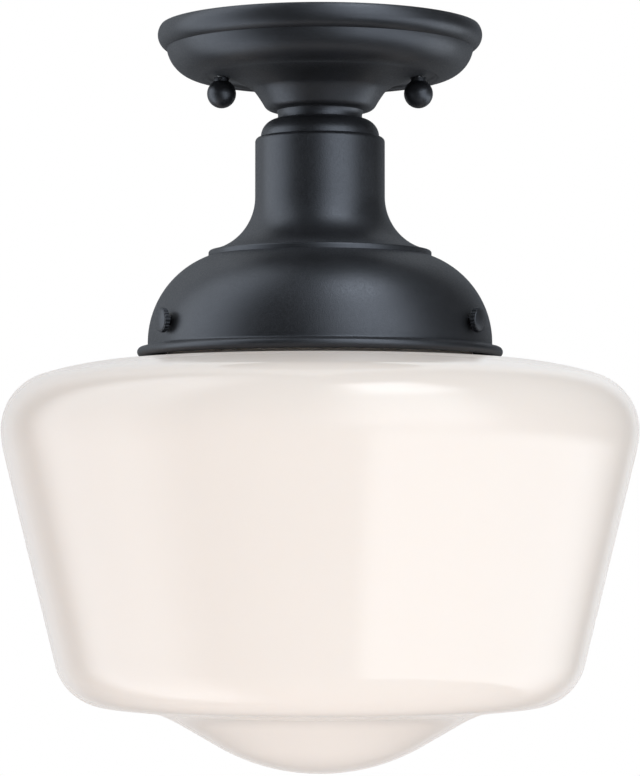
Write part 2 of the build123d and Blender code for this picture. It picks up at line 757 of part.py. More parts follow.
# ---------------------------------------------------------------- globe
def globe():
    """Blown globe: lipped neck, domed shoulder, taper, round foot and a stepped bowl."""
    crown = radians(crown_slope)
    side = radians(taper)
    foot = radians(foot_slope)
    round_x = globe_reach - shoulder_round
    crown_end_x = round_x + shoulder_round * sin(crown)
    crown_centre = (crown_end_x - crown_radius * sin(crown), shoulder_z - crown_radius)
    crown_end_z = crown_centre[1] + crown_radius * cos(crown)
    round_centre = (round_x, crown_end_z - shoulder_round * cos(crown))
    waist_centre = (globe_reach - waist_round, round_centre[1])
    taper_top = polar(waist_centre, waist_round, -taper)
    taper_foot = (taper_top[0] - taper_height * tan(side), taper_top[1] - taper_height)
    foot_centre = polar(taper_foot, foot_round, 180 - taper)
    foot_end = polar(foot_centre, foot_round, foot_slope - 90)
    notch = (notch_radius, foot_end[1] - (foot_end[0] - notch_radius) * tan(foot))
    cove_centre = polar(notch, bowl_cove, bowl_start_slope - 90)
    cove_end = polar(cove_centre, bowl_cove, bowl_slope + 90)
    bowl_edge_x = bowl_radius * sin(radians(bowl_slope))
    bowl_edge_z = cove_end[1] - (cove_end[0] - bowl_edge_x) * tan(radians(bowl_slope))
    bowl_centre = (0, bowl_edge_z + bowl_radius * cos(radians(bowl_slope)))
    fillet_centre = (neck_radius + neck_fillet, shoulder_z + neck_fillet)
    outline = [
        Line((neck_radius, lip_top_z - lip_edge), (neck_radius, fillet_centre[1])),
        arc(fillet_centre, neck_fillet, 180, 270),
        Line((fillet_centre[0], shoulder_z), (crown_centre[0], shoulder_z)),
        arc(crown_centre, crown_radius, 90, 90 - crown_slope),
        arc(round_centre, shoulder_round, 90 - crown_slope, 0),
        arc(waist_centre, waist_round, 0, -taper),
        Line(taper_top, taper_foot),
        arc(foot_centre, foot_round, -taper, foot_slope - 90),
        Line(foot_end, notch),
        arc(cove_centre, bowl_cove, bowl_start_slope + 90, bowl_slope + 90),
        Line(cove_end, (bowl_edge_x, bowl_edge_z)),
        arc(bowl_centre, bowl_radius, bowl_slope - 90, -90),
    ]
    return spun(outline, glass_wall) + globe_lip()


def globe_lip():
    """Ground lip round the neck, which hangs on the screw tips."""
    bore = neck_radius - glass_wall
    middle = ((bore + lip_radius) / 2, (lip_top_z + lip_under_z) / 2)
    section = Pos(*middle) * RectangleRounded(lip_radius - bore, lip_height, lip_edge)
    return turn(section)


# ---------------------------------------------------------------- write the parts
def main():
    """Build every node and write it."""
    os.makedirs("parts", exist_ok=True)
    save("box_bar", box_bar())
    save("bar_eyelet", bar_eyelet())
    save("stud_bar", stud_bar())
    save("canopy_studs", canopy_studs())
    save("stud_locknuts", stud_locknuts())
    save("ground_screw", ground_screw())
    save("ground_wire", ground_wire())
    save("canopy", canopy())
    save("ball_nut_left", ball_nut(-1))
    save("ball_nut_right", ball_nut(1))
    save("collar", collar())
    save("column_cap", column_cap())
    save("column", column())
    save("fitter_dome", fitter_dome())
    save("nipple", nipple())
    save("nipple_nut_top", nipple_nut(top_washer_z + nipple_nut_height))
    save("nipple_nut_bottom", nipple_nut(bracket_under_z - washer_thickness))
    save("lock_washers", lock_washers())
    save("screw_bushes", screw_bushes())
    for name, direction in SCREW_DIRECTIONS.items():
        save("thumbscrew_" + name, thumbscrew(direction))
    save("socket_bracket", socket_bracket())
    save("bracket_screws", bracket_screws())
    save("socket_body", socket_body())
    save("socket_shell", socket_shell())
    save("socket_contact", socket_contact())
    save("terminal_screws", terminal_screws())
    save("black_lead", lead(-1))
    save("white_lead", lead(1))
    save("wire_connectors", wire_connectors())
    save("bulb_contact", bulb_contact())
    save("bulb_insulator", bulb_insulator())
    save("bulb_cap", bulb_cap())
    save("bulb_glass", bulb_glass())
    save("globe", globe())


main()
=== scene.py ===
"""Finish of a semi flush ceiling light: black metal canopy, column and dome over an opal glass globe.

Metres, +Z up. The light hangs from the ceiling plane at Z = 0 and its front faces -Y. Turned pieces are
drawn as half sections, x being the distance from the axis, and are turned by a Geometry Nodes lathe.
"""
import json
import math

import bmesh
import bpy
from mathutils import Matrix, Vector

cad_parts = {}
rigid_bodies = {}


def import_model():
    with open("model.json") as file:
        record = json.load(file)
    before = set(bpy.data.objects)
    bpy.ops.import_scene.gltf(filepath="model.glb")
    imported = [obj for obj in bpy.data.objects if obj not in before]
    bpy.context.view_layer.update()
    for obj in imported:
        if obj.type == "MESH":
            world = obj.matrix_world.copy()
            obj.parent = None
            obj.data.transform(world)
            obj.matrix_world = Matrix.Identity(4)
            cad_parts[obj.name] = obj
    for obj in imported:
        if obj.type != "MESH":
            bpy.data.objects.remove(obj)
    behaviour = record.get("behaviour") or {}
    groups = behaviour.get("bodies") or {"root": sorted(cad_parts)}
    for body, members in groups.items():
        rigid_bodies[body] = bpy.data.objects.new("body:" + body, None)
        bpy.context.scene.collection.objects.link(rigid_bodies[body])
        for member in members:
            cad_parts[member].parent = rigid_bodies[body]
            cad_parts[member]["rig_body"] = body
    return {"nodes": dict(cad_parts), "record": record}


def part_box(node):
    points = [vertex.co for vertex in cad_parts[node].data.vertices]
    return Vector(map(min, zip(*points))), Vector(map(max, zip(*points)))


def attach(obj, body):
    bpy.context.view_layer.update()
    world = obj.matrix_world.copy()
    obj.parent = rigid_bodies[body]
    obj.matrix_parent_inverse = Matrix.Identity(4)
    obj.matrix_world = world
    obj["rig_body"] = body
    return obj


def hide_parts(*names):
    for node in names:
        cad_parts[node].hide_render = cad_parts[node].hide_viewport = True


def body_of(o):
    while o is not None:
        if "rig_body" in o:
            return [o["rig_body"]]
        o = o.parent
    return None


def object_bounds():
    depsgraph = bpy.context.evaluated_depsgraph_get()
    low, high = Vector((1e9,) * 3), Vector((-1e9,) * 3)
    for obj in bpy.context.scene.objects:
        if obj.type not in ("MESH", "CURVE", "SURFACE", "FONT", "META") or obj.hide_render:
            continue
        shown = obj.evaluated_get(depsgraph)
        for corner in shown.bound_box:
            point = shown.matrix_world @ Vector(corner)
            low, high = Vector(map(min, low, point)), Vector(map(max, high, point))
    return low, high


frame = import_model()
CAD_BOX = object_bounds()

bl_info = {
    "name": "Semi flush ceiling light",
    "version": (1, 0, 0),
    "blender": (4, 5, 0),
    "location": "View3D > Sidebar > Ceiling light",
    "description": "Finished pieces of a semi flush ceiling light with an opal glass globe",
    "category": "Object",
}

MM = 0.001
SAME_PLACE = 1e-6            # points nearer than this are one point
CHORD_GAP = 0.006 * MM       # how far a chord may leave its arc
SLOT_LENGTH = 12.0 * MM      # longer than any slotted head is wide
SHARP_EDGE = math.radians(32)    # edges that turn more are shaded sharp
BROKEN_EDGE = math.radians(50)   # edges that turn more get a bevel
FLAT_SEAM = math.radians(0.5)    # seams that turn less are dissolved
SCREW_DIRECTIONS = {"left": 210, "right": 330, "back": 90}


# ---------------------------------------------------------------- sizes and colours that a user would change
def length(name, millimetres, description):
    """Length with its default in millimetres."""
    return bpy.props.FloatProperty(name=name, description=description, default=millimetres * MM,
                                   min=0.0, precision=5, unit="LENGTH")


def slope(name, degrees, description):
    """Angle with its default in degrees."""
    return bpy.props.FloatProperty(name=name, description=description, default=math.radians(degrees),
                                   subtype="ANGLE")


def count(name, number, description):
    """Whole number of repeated things."""
    return bpy.props.IntProperty(name=name, description=description, default=number, min=3)


def share(name, amount, description):
    """Value from 0 to 1."""
    return bpy.props.FloatProperty(name=name, description=description, default=amount, min=0.0, max=1.0,
                                   precision=3, subtype="FACTOR")


def colour(name, rgb, description):
    """Linear colour."""
    return bpy.props.FloatVectorProperty(name=name, description=description, default=rgb, size=3,
                                         min=0.0, max=1.0, subtype="COLOR")


class CanopySizes(bpy.types.PropertyGroup):
    """Spun pan against the ceiling."""
    wall: length("Wall", 0.9, "Thickness of the spun sheet")
    side_run: length("Side run", 19.24, "Ridge to the widest point of the bead")
    bead_radius: length("Bead radius", 6.74, "Round bead at the ceiling")
    bead_drop: length("Bead drop", 4.13, "Ceiling to the widest point of the bead")
    side_radius: length("Side radius", 15.4, "Round side under the groove")
    dish_land: length("Dish land", 9.55, "Stud to the ridge")
    ridge_drop: length("Ridge drop", 23.33, "Ceiling to the lowest circle of the ridge")
    ridge_nose: length("Ridge nose", 1.3, "Rounding of the ridge towards the dish")
    dish_depth: length("Dish depth", 1.43, "Ridge to the flat of the dish")
    valley_radius: length("Valley radius", 2.0, "Rounding at the foot of the ridge")
    trumpet_radius: length("Trumpet radius", 37.2, "Hollow of the trumpet shaped hub")
    trumpet_turn: slope("Trumpet turn", 33.0, "Slope where the hollow ends and the hub's side begins")
    hub_slope: slope("Hub slope", 59.5, "Slope of the hub's side at its foot")
    hub_reach: length("Hub reach", 25.2, "Where the hub's side turns into its foot")
    hub_round: length("Hub rounding", 4.8, "Rounded foot of the hub")
    hole_gap: length("Stud hole gap", 0.35, "Room round a stud in its hole")


class StackSizes(bpy.types.PropertyGroup):
    """Collar, cap and flared column."""
    bore: length("Bore", 5.2, "Hole for the threaded tube in each piece of the stack")
    collar_top: length("Collar top", 19.6, "Radius of the collar at its top")
    collar_foot: length("Collar foot", 19.1, "Radius of the collar at its foot")
    collar_cove: length("Collar cove", 5.0, "Hollow turned into the collar's edge")
    cap_wall: length("Cap wall", 1.1, "Thickness of the cap")
    cap_flat: length("Cap flat", 18.5, "Radius of the cap's flat top")
    cap_round: length("Cap rounding", 8.2, "Quarter round of the cap")
    column_wall: length("Column wall", 0.9, "Thickness of the column")
    column_radius: length("Column radius", 29.25, "Straight part of the column")
    column_shoulder: length("Column shoulder", 2.2, "Rounded top edge of the column")
    flare_radius: length("Flare radius", 25.0, "Bell of the column")
    flare_slope: slope("Flare slope", 17.0, "Slope below level where the bell meets its lip")
    lip_round: length("Lip rounding", 1.1, "Rolled lip that lies on the dome")
    lip_reach: length("Lip reach", 50.25, "Widest point of the lip")


class DomeSizes(bpy.types.PropertyGroup):
    """Spun dome that holds the globe."""
    wall: length("Wall", 0.9, "Thickness of the spun sheet")
    flat: length("Flat", 36.1, "Radius of the flat crown")
    bend: length("Bend", 41.35, "Rounding of the dome")
    skirt: length("Skirt", 0.75, "Straight wall under the bend")
    rim_cove: length("Rim cove", 1.3, "Hollow over the rim")
    rim_land: length("Rim land", 1.2, "Flat of the rim")
    rim_bead: length("Rim bead", 2.25, "Rounded edge of the rim")
    bush_radius: length("Bush hole", 3.2, "Hole for a screw bush")


class GlobeSizes(bpy.types.PropertyGroup):
    """Blown opal glass."""
    wall: length("Wall", 3.2, "Thickness of the glass")
    lip_edge: length("Lip edge", 1.2, "Rounded edges of the lip")
    lip_height: length("Lip height", 5.0, "Height of the lip")
    neck_radius: length("Neck radius", 68.5, "Groove under the lip")
    lip_radius: length("Lip radius", 73.0, "Widest point of the lip")
    neck_height: length("Neck height", 18.2, "Underside of the lip to the flat of the shoulder")
    neck_fillet: length("Neck fillet", 5.0, "Rounding from the neck into the shoulder")
    crown_radius: length("Crown radius", 150.0, "Gentle dome of the shoulder")
    crown_slope: slope("Crown slope", 17.0, "Slope where the crown turns into the round shoulder")
    shoulder_round: length("Shoulder rounding", 25.5, "Round shoulder")
    waist_round: length("Waist rounding", 44.0, "Turn from the widest point into the taper")
    taper: slope("Taper", 13.8, "Lean of the straight side")
    taper_height: length("Taper height", 94.8, "Height of the straight side")
    foot_round: length("Foot rounding", 24.3, "Round foot of the taper")
    foot_slope: slope("Foot slope", 6.3, "Slope of the foot's underside")
    notch_radius: length("Notch radius", 75.9, "Groove between the foot and the bowl")
    notch_fillet: length("Notch fillet", 0.6, "Softness of the groove, as blown glass has it")
    bowl_start: slope("Bowl start", 16.0, "Slope where the bowl leaves the groove")
    bowl_cove: length("Bowl cove", 55.0, "Hollow side of the bowl")
    bowl_slope: slope("Bowl slope", 30.0, "Steepest part of the bowl")
    bowl_radius: length("Bowl radius", 92.0, "Round bottom of the bowl")


class FastenerSizes(bpy.types.PropertyGroup):
    """Ball nuts, thumbscrews, studs and the threaded tube."""
    stud_radius: length("Stud radius", 2.08, "Machine screws")
    stud_head: length("Stud head", 2.2, "Height of a stud's round head")
    thread_pitch: length("Screw pitch", 0.79, "Pitch of the machine screws")
    thread_depth: length("Screw thread depth", 0.36, "Depth of their thread")
    ball_radius: length("Ball radius", 6.55, "Ball nuts")
    ball_neck: length("Ball neck", 3.4, "Neck of a ball nut")
    ball_hole: length("Ball hole", 1.1, "Centre of a ball to the end of its tapped hole, downwards")
    neck_sink: length("Neck sink", 0.5, "How far the neck's top reaches up past the slope of the canopy")
    head_radius: length("Thumbscrew head", 5.45, "Radius of a thumbscrew's head")
    head_thickness: length("Head thickness", 2.5, "Knurled edge of a thumbscrew")
    head_crown: length("Head crown", 0.55, "Rise of the head's domed face")
    head_edge: length("Head edge", 0.35, "Bevel of the head")
    knurls: count("Knurls", 20, "Ribs round a thumbscrew's edge")
    knurl_radius: length("Knurl radius", 0.66, "Half width of a rib")
    knurl_depth: share("Knurl depth", 0.75, "Part of a rib's half width that stands out of the edge")
    nipple_radius: length("Tube radius", 5.15, "Threaded tube through the stack")
    nipple_bore: length("Tube bore", 3.6, "Way for the wires")
    nipple_pitch: length("Tube pitch", 0.94, "Pitch of the tube's thread")
    nipple_depth: length("Tube thread depth", 0.42, "Depth of the tube's thread")
    slot_width: length("Screwdriver slot", 1.0, "Width of a screwdriver slot")
    slot_depth: length("Slot depth", 0.9, "Depth of a screwdriver slot")


class LampSizes(bpy.types.PropertyGroup):
    """Lamp, its socket and the wire connectors."""
    base_pitch: length("Base pitch", 3.63, "Pitch of a medium screw base")
    base_depth: length("Base thread depth", 0.7, "Depth of the rolled thread")
    cap_wall: length("Cap wall", 0.4, "Thickness of the lamp's cap")
    cap_hole: length("Cap hole", 0.9, "Hole in the cap's crown")
    neck_length: length("Neck length", 11.0, "Straight neck of the envelope")
    neck_stand: length("Neck stand", 0.6, "How far the envelope's neck stands outside the cap")
    neck_gap: length("Neck gap", 0.1, "Room between the cap and the envelope")
    bulb_radius: length("Bulb radius", 30.0, "Round part of the envelope")
    glass_wall: length("Glass wall", 0.8, "Thickness of the envelope")
    shell_wall: length("Shell wall", 0.4, "Thickness of the socket's shell")
    connector_mouth: length("Connector mouth", 6.0, "Radius of a connector's mouth")
    connector_tip: length("Connector tip", 3.6, "Radius of a connector's tip")
    connector_bore: length("Connector bore", 1.3, "Hole for the lead")
    connector_depth: length("Connector depth", 8.0, "Depth of the hole for the lead")
    connector_length: length("Connector length", 21.0, "Mouth to tip")
    connector_side: length("Connector side", 15.0, "Mouth of a connector beside the axis")
    connector_front: length("Connector front", 19.0, "Mouth of a connector in front of the axis")
    connector_slant: slope("Connector slant", 62.0, "How far a connector turns to the front")
    mouth_step: length("Mouth step", 0.3, "Plain band at the mouth, inside the widest point")
    mouth_band: length("Mouth band", 2.0, "Width of the plain band at the mouth")
    mouth_slope: length("Mouth slope", 1.0, "Plain band to the ribbed cone")
    connector_ribs: count("Connector ribs", 16, "Finger ribs round a connector")
    rib_radius: length("Rib radius", 0.45, "Half width of a finger rib")
    rib_run: share("Rib run", 0.78, "Part of a connector's length that has ribs")
    rib_middle: share("Rib middle", 0.52, "Middle of the ribs, as a part of the length")


class FinishColours(bpy.types.PropertyGroup):
    """Colours of the finishes."""
    black_coat: colour("Black coat", (0.0085, 0.0088, 0.0098), "Satin black coat on the metal")
    opal: colour("Opal glass", (0.935, 0.840, 0.780), "Warm white of the glass")
    zinc: colour("Zinc plate", (0.56, 0.57, 0.58), "Bright zinc on straps, nuts and screws")
    green: colour("Ground screw", (0.05, 0.28, 0.10), "Green of the ground screw")
    copper: colour("Copper", (0.78, 0.38, 0.22), "Bare ground wire")
    brass: colour("Brass", (0.78, 0.60, 0.30), "Bushes, contact and terminals")
    porcelain: colour("Porcelain", (0.84, 0.83, 0.79), "Glazed socket body")
    nickel: colour("Nickel", (0.72, 0.70, 0.66), "Screw shell and lamp cap")
    black_lead: colour("Black lead", (0.03, 0.03, 0.03), "Insulation of the live lead")
    white_lead: colour("White lead", (0.82, 0.81, 0.78), "Insulation of the neutral lead")
    connector: colour("Connector", (0.80, 0.30, 0.05), "Twist-on connectors")
    solder: colour("Solder", (0.60, 0.60, 0.60), "Centre contact of the lamp")
    dark_glass: colour("Dark glass", (0.05, 0.05, 0.06), "Insulator of the lamp's base")
    frosted: colour("Frosted glass", (0.88, 0.88, 0.86), "Envelope of the lamp")


class StudioSettings(bpy.types.PropertyGroup):
    """Light, floor and camera."""
    lens: bpy.props.FloatProperty(name="Lens", description="Focal length", default=188.4, unit="CAMERA")
    camera_distance: length("Camera distance", 1505.0, "Camera in front of the axis")
    camera_drop: length("Camera drop", 230.2, "Camera under the ceiling plane")
    camera_pitch: slope("Camera pitch", 2.547, "Camera's tilt upwards")
    floor_drop: length("Floor drop", 3800.0, "Ceiling plane to the floor")
    floor_reach: length("Floor reach", 6000.0, "Axis to the floor's edge")
    fade_start: length("Fade start", 1500.0, "Where the floor begins to fade into white")
    fade_end: length("Fade end", 5500.0, "Where the floor is as white as the surroundings")
    floor: colour("Floor", (0.88, 0.88, 0.88), "Pale floor")
    ambient: share("Ambient", 0.80, "Soft light from all round")
    window: colour("Window light", (0.90, 0.95, 1.00), "Tint of what polished surfaces mirror")
    dim_room: share("Dim room", 0.12, "Brightness of the unlit room, in reflections")


class CeilingLightSettings(bpy.types.PropertyGroup):
    """All sizes and colours of the light."""
    canopy: bpy.props.PointerProperty(type=CanopySizes)
    stack: bpy.props.PointerProperty(type=StackSizes)
    dome: bpy.props.PointerProperty(type=DomeSizes)
    globe: bpy.props.PointerProperty(type=GlobeSizes)
    fasteners: bpy.props.PointerProperty(type=FastenerSizes)
    lamp: bpy.props.PointerProperty(type=LampSizes)
    colours: bpy.props.PointerProperty(type=FinishColours)
    studio: bpy.props.PointerProperty(type=StudioSettings)


def settings():
    """Sizes and colours of the light in this scene."""
    return bpy.context.scene.ceiling_light


# ---------------------------------------------------------------- levels and reaches of the CAD nodes
def top(node):
    """Highest level of a node."""
    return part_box(node)[1].z


def foot(node):
    """Lowest level of a node."""
    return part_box(node)[0].z


def reach(node):
    """How far a turned node reaches from the axis."""
    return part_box(node)[1].x


def middle(node):
    """Middle of a node's box."""
    low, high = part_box(node)
    return (low + high) / 2


# ---------------------------------------------------------------- outlines
def arc(centre, radius, start, end):
    """Points of an arc round a centre, from one direction to another, in degrees."""
    step = 2 * math.degrees(math.acos(1 - min(CHORD_GAP / radius, 0.1)))
    steps = max(2, math.ceil(abs(end - start) / step))
    return [polar(centre, radius, start + (end - start) * index / steps) for index in range(steps + 1)]


def polar(centre, radius, direction):
    """Point at a distance and direction, in degrees, from a centre."""
    angle = math.radians(direction)
    return (centre[0] + radius * math.cos(angle), centre[1] + radius * math.sin(angle))


def direction_to(centre, point):
    """Direction from a centre to a point, in degrees."""
    return math.degrees(math.atan2(point[1] - centre[1], point[0] - centre[0]))


def hollow_edge(start, end, radius):
    """Arc from one point down to another, hollow towards the outside."""
    run, rise = end[0] - start[0], end[1] - start[1]
    chord = math.hypot(run, rise)
    stand = math.sqrt(radius ** 2 - (chord / 2) ** 2)
    centre = ((start[0] + end[0]) / 2 - stand * rise / chord, (start[1] + end[1]) / 2 + stand * run / chord)
    return arc(centre, radius, direction_to(centre, start) % 360, direction_to(centre, end) % 360)


def crossing(centre_a, radius_a, centre_b, radius_b):
    """Lower crossing of two circles."""
    run, rise = centre_b[0] - centre_a[0], centre_b[1] - centre_a[1]
    apart = math.hypot(run, rise)
    along = (radius_a ** 2 - radius_b ** 2 + apart ** 2) / (2 * apart)
    across = math.sqrt(radius_a ** 2 - along ** 2)
    return (centre_a[0] + (along * run - across * rise) / apart,
            centre_a[1] + (along * rise + across * run) / apart)


def meeting(point_a, slope_a, point_b, slope_b):
    """Crossing of two lines through points, their slopes in degrees."""
    rise_a, rise_b = (math.tan(math.radians(angle)) for angle in (slope_a, slope_b))
    x = (point_b[1] - point_a[1] + rise_a * point_a[0] - rise_b * point_b[0]) / (rise_a - rise_b)
    return (x, point_a[1] + rise_a * (x - point_a[0]))


def joined(*stretches):
    """One outline from stretches of points, without doubled points."""
    points = []
    for stretch in stretches:
        for point in stretch:
            if not points or math.dist(points[-1], point) > SAME_PLACE:
                points.append(point)
    return points


def inside(outline, wall):
    """Copy of an outline, drawn from top to bottom, moved towards the inside by the wall."""
    copy = []
    last = len(outline) - 1
    for index, point in enumerate(outline):
        before, after = outline[max(index - 1, 0)], outline[min(index + 1, last)]
        into = side_of(before, point) if index > 0 else side_of(point, after)
        out_of = side_of(point, after) if index < last else into
        spread = 1 + into[0] * out_of[0] + into[1] * out_of[1]
        moved = [point[axis] + wall * (into[axis] + out_of[axis]) / spread for axis in (0, 1)]
        copy.append((0.0 if point[0] < SAME_PLACE else max(moved[0], 0.0), moved[1]))
    return copy


def side_of(start, end):
    """Unit vector to the right of the way from one point to another."""
    run, rise = end[0] - start[0], end[1] - start[1]
    size = math.hypot(run, rise)
    return (rise / size, -run / size)


def walled(outline, wall):
    """Closed half section of a wall."""
    return ring(outline + inside(outline, wall)[::-1])


def ring(points):
    """Closed outline: its first point comes again at its end."""
    return joined(points, points[:1])


def eased(start, corner, end, steps):
    """Points of the curve that a corner pulls between two ends."""
    points = []
    for part in (step / steps for step in range(steps + 1)):
        weights = ((1 - part) ** 2, 2 * part * (1 - part), part ** 2)
        points.append(tuple(sum(weight * point[axis] for weight, point in zip(weights, (start, corner, end)))
                            for axis in (0, 1)))
    return points


def towards(start, end, distance):
    """Point at a distance from a start on the way to an end."""
    part = distance / math.dist(start, end)
    return tuple(start[axis] + (end[axis] - start[axis]) * part for axis in (0, 1))


def softened(outline, corner, radius):
    """Outline with one corner rounded by a short curve."""
    place = min(range(len(outline)), key=lambda index: math.dist(outline[index], corner))
    start = towards(corner, outline[place - 1], radius)
    end = towards(corner, outline[place + 1], radius)
    return outline[:place] + eased(start, corner, end, steps=6) + outline[place + 1:]


# ---------------------------------------------------------------- node trees
def put(tree, kind, inputs=None, **options):
    """Add a node; inputs are given by name or place, as values or as other nodes' outputs."""
    node = tree.nodes.new(kind)
    for option, value in options.items():
        setattr(node, option, value)
    for key, value in (inputs or {}).items():
        if isinstance(value, bpy.types.NodeSocket):
            tree.links.new(value, node.inputs[key])
        else:
            node.inputs[key].default_value = value
    return node


def figure(tree, operation, first, second):
    """Result of one step of arithmetic."""
    return put(tree, "ShaderNodeMath", {0: first, 1: second}, operation=operation).outputs["Value"]


def shape_tree(name, inputs):
    """Geometry Nodes tree with named inputs, each given as its socket type and default."""
    tree = bpy.data.node_groups.new(name, "GeometryNodeTree")
    tree.interface.new_socket("Geometry", in_out="INPUT", socket_type="NodeSocketGeometry")
    for label, (kind, default) in inputs.items():
        tree.interface.new_socket(label, in_out="INPUT", socket_type=kind).default_value = default
    tree.interface.new_socket("Material", in_out="INPUT", socket_type="NodeSocketMaterial")
    tree.interface.new_socket("Geometry", in_out="OUTPUT", socket_type="NodeSocketGeometry")
    return tree, tree.nodes.new("NodeGroupInput").outputs


def close_tree(tree, given, geometry):
    """End of every tree: smooth faces, real geometry and its material."""
    smooth = put(tree, "GeometryNodeSetShadeSmooth", {"Geometry": geometry})
    real = put(tree, "GeometryNodeRealizeInstances", {"Geometry": smooth.outputs["Geometry"]})
    coated = put(tree, "GeometryNodeSetMaterial",
                 {"Geometry": real.outputs["Geometry"], "Material": given["Material"]})
    put(tree, "NodeGroupOutput", {"Geometry": coated.outputs["Geometry"]})
    return tree


def lathe_tree():
    """Turns a half section, given as a line of points in the XZ plane, about the Z axis."""
    tree, given = shape_tree("Lathe", {"Segments": ("NodeSocketInt", 160)})
    size = put(tree, "GeometryNodeAttributeDomainSize", {"Geometry": given["Geometry"]}, component="MESH")
    rows = size.outputs["Point Count"]
    columns = figure(tree, "ADD", given["Segments"], 1)
    grid = put(tree, "GeometryNodeMeshGrid", {"Vertices X": columns, "Vertices Y": rows})
    index = put(tree, "GeometryNodeInputIndex").outputs["Index"]
    column = figure(tree, "FLOOR", figure(tree, "DIVIDE", index, rows), 0)
    row = figure(tree, "MODULO", index, rows)
    place = put(tree, "GeometryNodeInputPosition").outputs["Position"]
    point = put(tree, "GeometryNodeSampleIndex",
                {"Geometry": given["Geometry"], "Value": place, "Index": row},
                data_type="FLOAT_VECTOR", domain="POINT").outputs["Value"]
    angle = figure(tree, "MULTIPLY", column, figure(tree, "DIVIDE", 2 * math.pi, given["Segments"]))
    turned = put(tree, "ShaderNodeVectorRotate", {"Vector": point, "Angle": angle}, rotation_type="Z_AXIS")
    skin = put(tree, "GeometryNodeSetPosition",
               {"Geometry": grid.outputs["Mesh"], "Position": turned.outputs["Vector"]})
    whole = put(tree, "GeometryNodeMergeByDistance",
                {"Geometry": skin.outputs["Geometry"], "Distance": SAME_PLACE})
    return close_tree(tree, given, whole.outputs["Geometry"])


def thread_tree():
    """Ridge of a screw thread that winds up round the Z axis from Z = 0."""
    tree, given = shape_tree("Screw thread", {
        "Radius": ("NodeSocketFloat", 2.0 * MM), "Height": ("NodeSocketFloat", 10.0 * MM),
        "Pitch": ("NodeSocketFloat", 1.0 * MM), "Depth": ("NodeSocketFloat", 0.4 * MM),
        "Sides": ("NodeSocketInt", 4), "Steps": ("NodeSocketInt", 40)})
    inner = figure(tree, "SUBTRACT", given["Radius"], given["Depth"])
    turns = figure(tree, "DIVIDE", given["Height"], given["Pitch"])
    spiral = put(tree, "GeometryNodeCurveSpiral",
                 {"Resolution": given["Steps"], "Rotations": turns, "Start Radius": inner,
                  "End Radius": inner, "Height": given["Height"]})
    upright = put(tree, "GeometryNodeSetCurveNormal", {"Curve": spiral.outputs["Curve"]}, mode="Z_UP")
    section = put(tree, "GeometryNodeCurvePrimitiveCircle",
                  {"Resolution": given["Sides"], "Radius": given["Depth"]})
    ridge = put(tree, "GeometryNodeCurveToMesh",
                {"Curve": upright.outputs["Curve"], "Profile Curve": section.outputs["Curve"],
                 "Fill Caps": True})
    return close_tree(tree, given, ridge.outputs["Mesh"])


def rib_tree():
    """Ribs that stand round the Z axis, leaning towards it by an angle."""
    tree, given = shape_tree("Rim ribs", {
        "Count": ("NodeSocketInt", 24), "Reach": ("NodeSocketFloat", 5.0 * MM),
        "Rib radius": ("NodeSocketFloat", 0.5 * MM), "Rib length": ("NodeSocketFloat", 2.0 * MM),
        "Lean": ("NodeSocketFloat", 0.0), "Sides": ("NodeSocketInt", 8)})
    circle = put(tree, "GeometryNodeMeshCircle", {"Vertices": given["Count"], "Radius": given["Reach"]})
    rib = put(tree, "GeometryNodeMeshCylinder",
              {"Vertices": given["Sides"], "Radius": given["Rib radius"], "Depth": given["Rib length"]})
    index = put(tree, "GeometryNodeInputIndex").outputs["Index"]
    angle = figure(tree, "MULTIPLY", index, figure(tree, "DIVIDE", 2 * math.pi, given["Count"]))
    turn = put(tree, "ShaderNodeCombineXYZ", {"Y": given["Lean"], "Z": angle})
    ribs = put(tree, "GeometryNodeInstanceOnPoints",
               {"Points": circle.outputs["Mesh"], "Instance": rib.outputs["Mesh"],
                "Rotation": turn.outputs["Vector"]})
    return close_tree(tree, given, ribs.outputs["Instances"])


TREE_MAKERS = {"Lathe": lathe_tree, "Screw thread": thread_tree, "Rim ribs": rib_tree}


def grown(tree_name, slot, base=None, **inputs):
    """Plain mesh made by a Geometry Nodes tree, which is not left on any object."""
    tree = bpy.data.node_groups.get(tree_name) or TREE_MAKERS[tree_name]()
    values = {name.replace("_", " "): value for name, value in inputs.items()}
    values["Material"] = finish(slot)
    holder = bpy.data.objects.new("holder", base or bpy.data.meshes.new("holder"))
    bpy.context.scene.collection.objects.link(holder)
    modifier = holder.modifiers.new("Shape", "NODES")
    modifier.node_group = tree
    for item in tree.interface.items_tree:
        if item.in_out == "INPUT" and item.name in values:
            modifier[item.identifier] = values[item.name]
    graph = bpy.context.evaluated_depsgraph_get()
    mesh = bpy.data.meshes.new_from_object(holder.evaluated_get(graph))
    holder.modifiers.remove(modifier)
    bpy.data.objects.remove(holder)
    return mesh


# ---------------------------------------------------------------- meshes
def turned(outline, slot, place=None, segments=160):
    """Turned mesh of a half section, moved to its place."""
    section = bpy.data.meshes.new("section")
    edges = [(index, index + 1) for index in range(len(outline) - 1)]
    section.from_pydata([(x, 0.0, z) for x, z in outline], edges, [])
    mesh = grown("Lathe", slot, section, Segments=segments)
    mesh.transform(place or Matrix())
    return closed(mesh)


def threaded(slot, radius, start, end, pitch, depth, place=None, sides=4):
    """Thread ridge between two levels."""
    mesh = grown("Screw thread", slot, Radius=radius, Height=end - start - 2 * depth, Pitch=pitch,
                 Depth=depth, Sides=sides)
    mesh.transform((place or Matrix()) @ Matrix.Translation((0, 0, start + depth)))
    return closed(mesh)


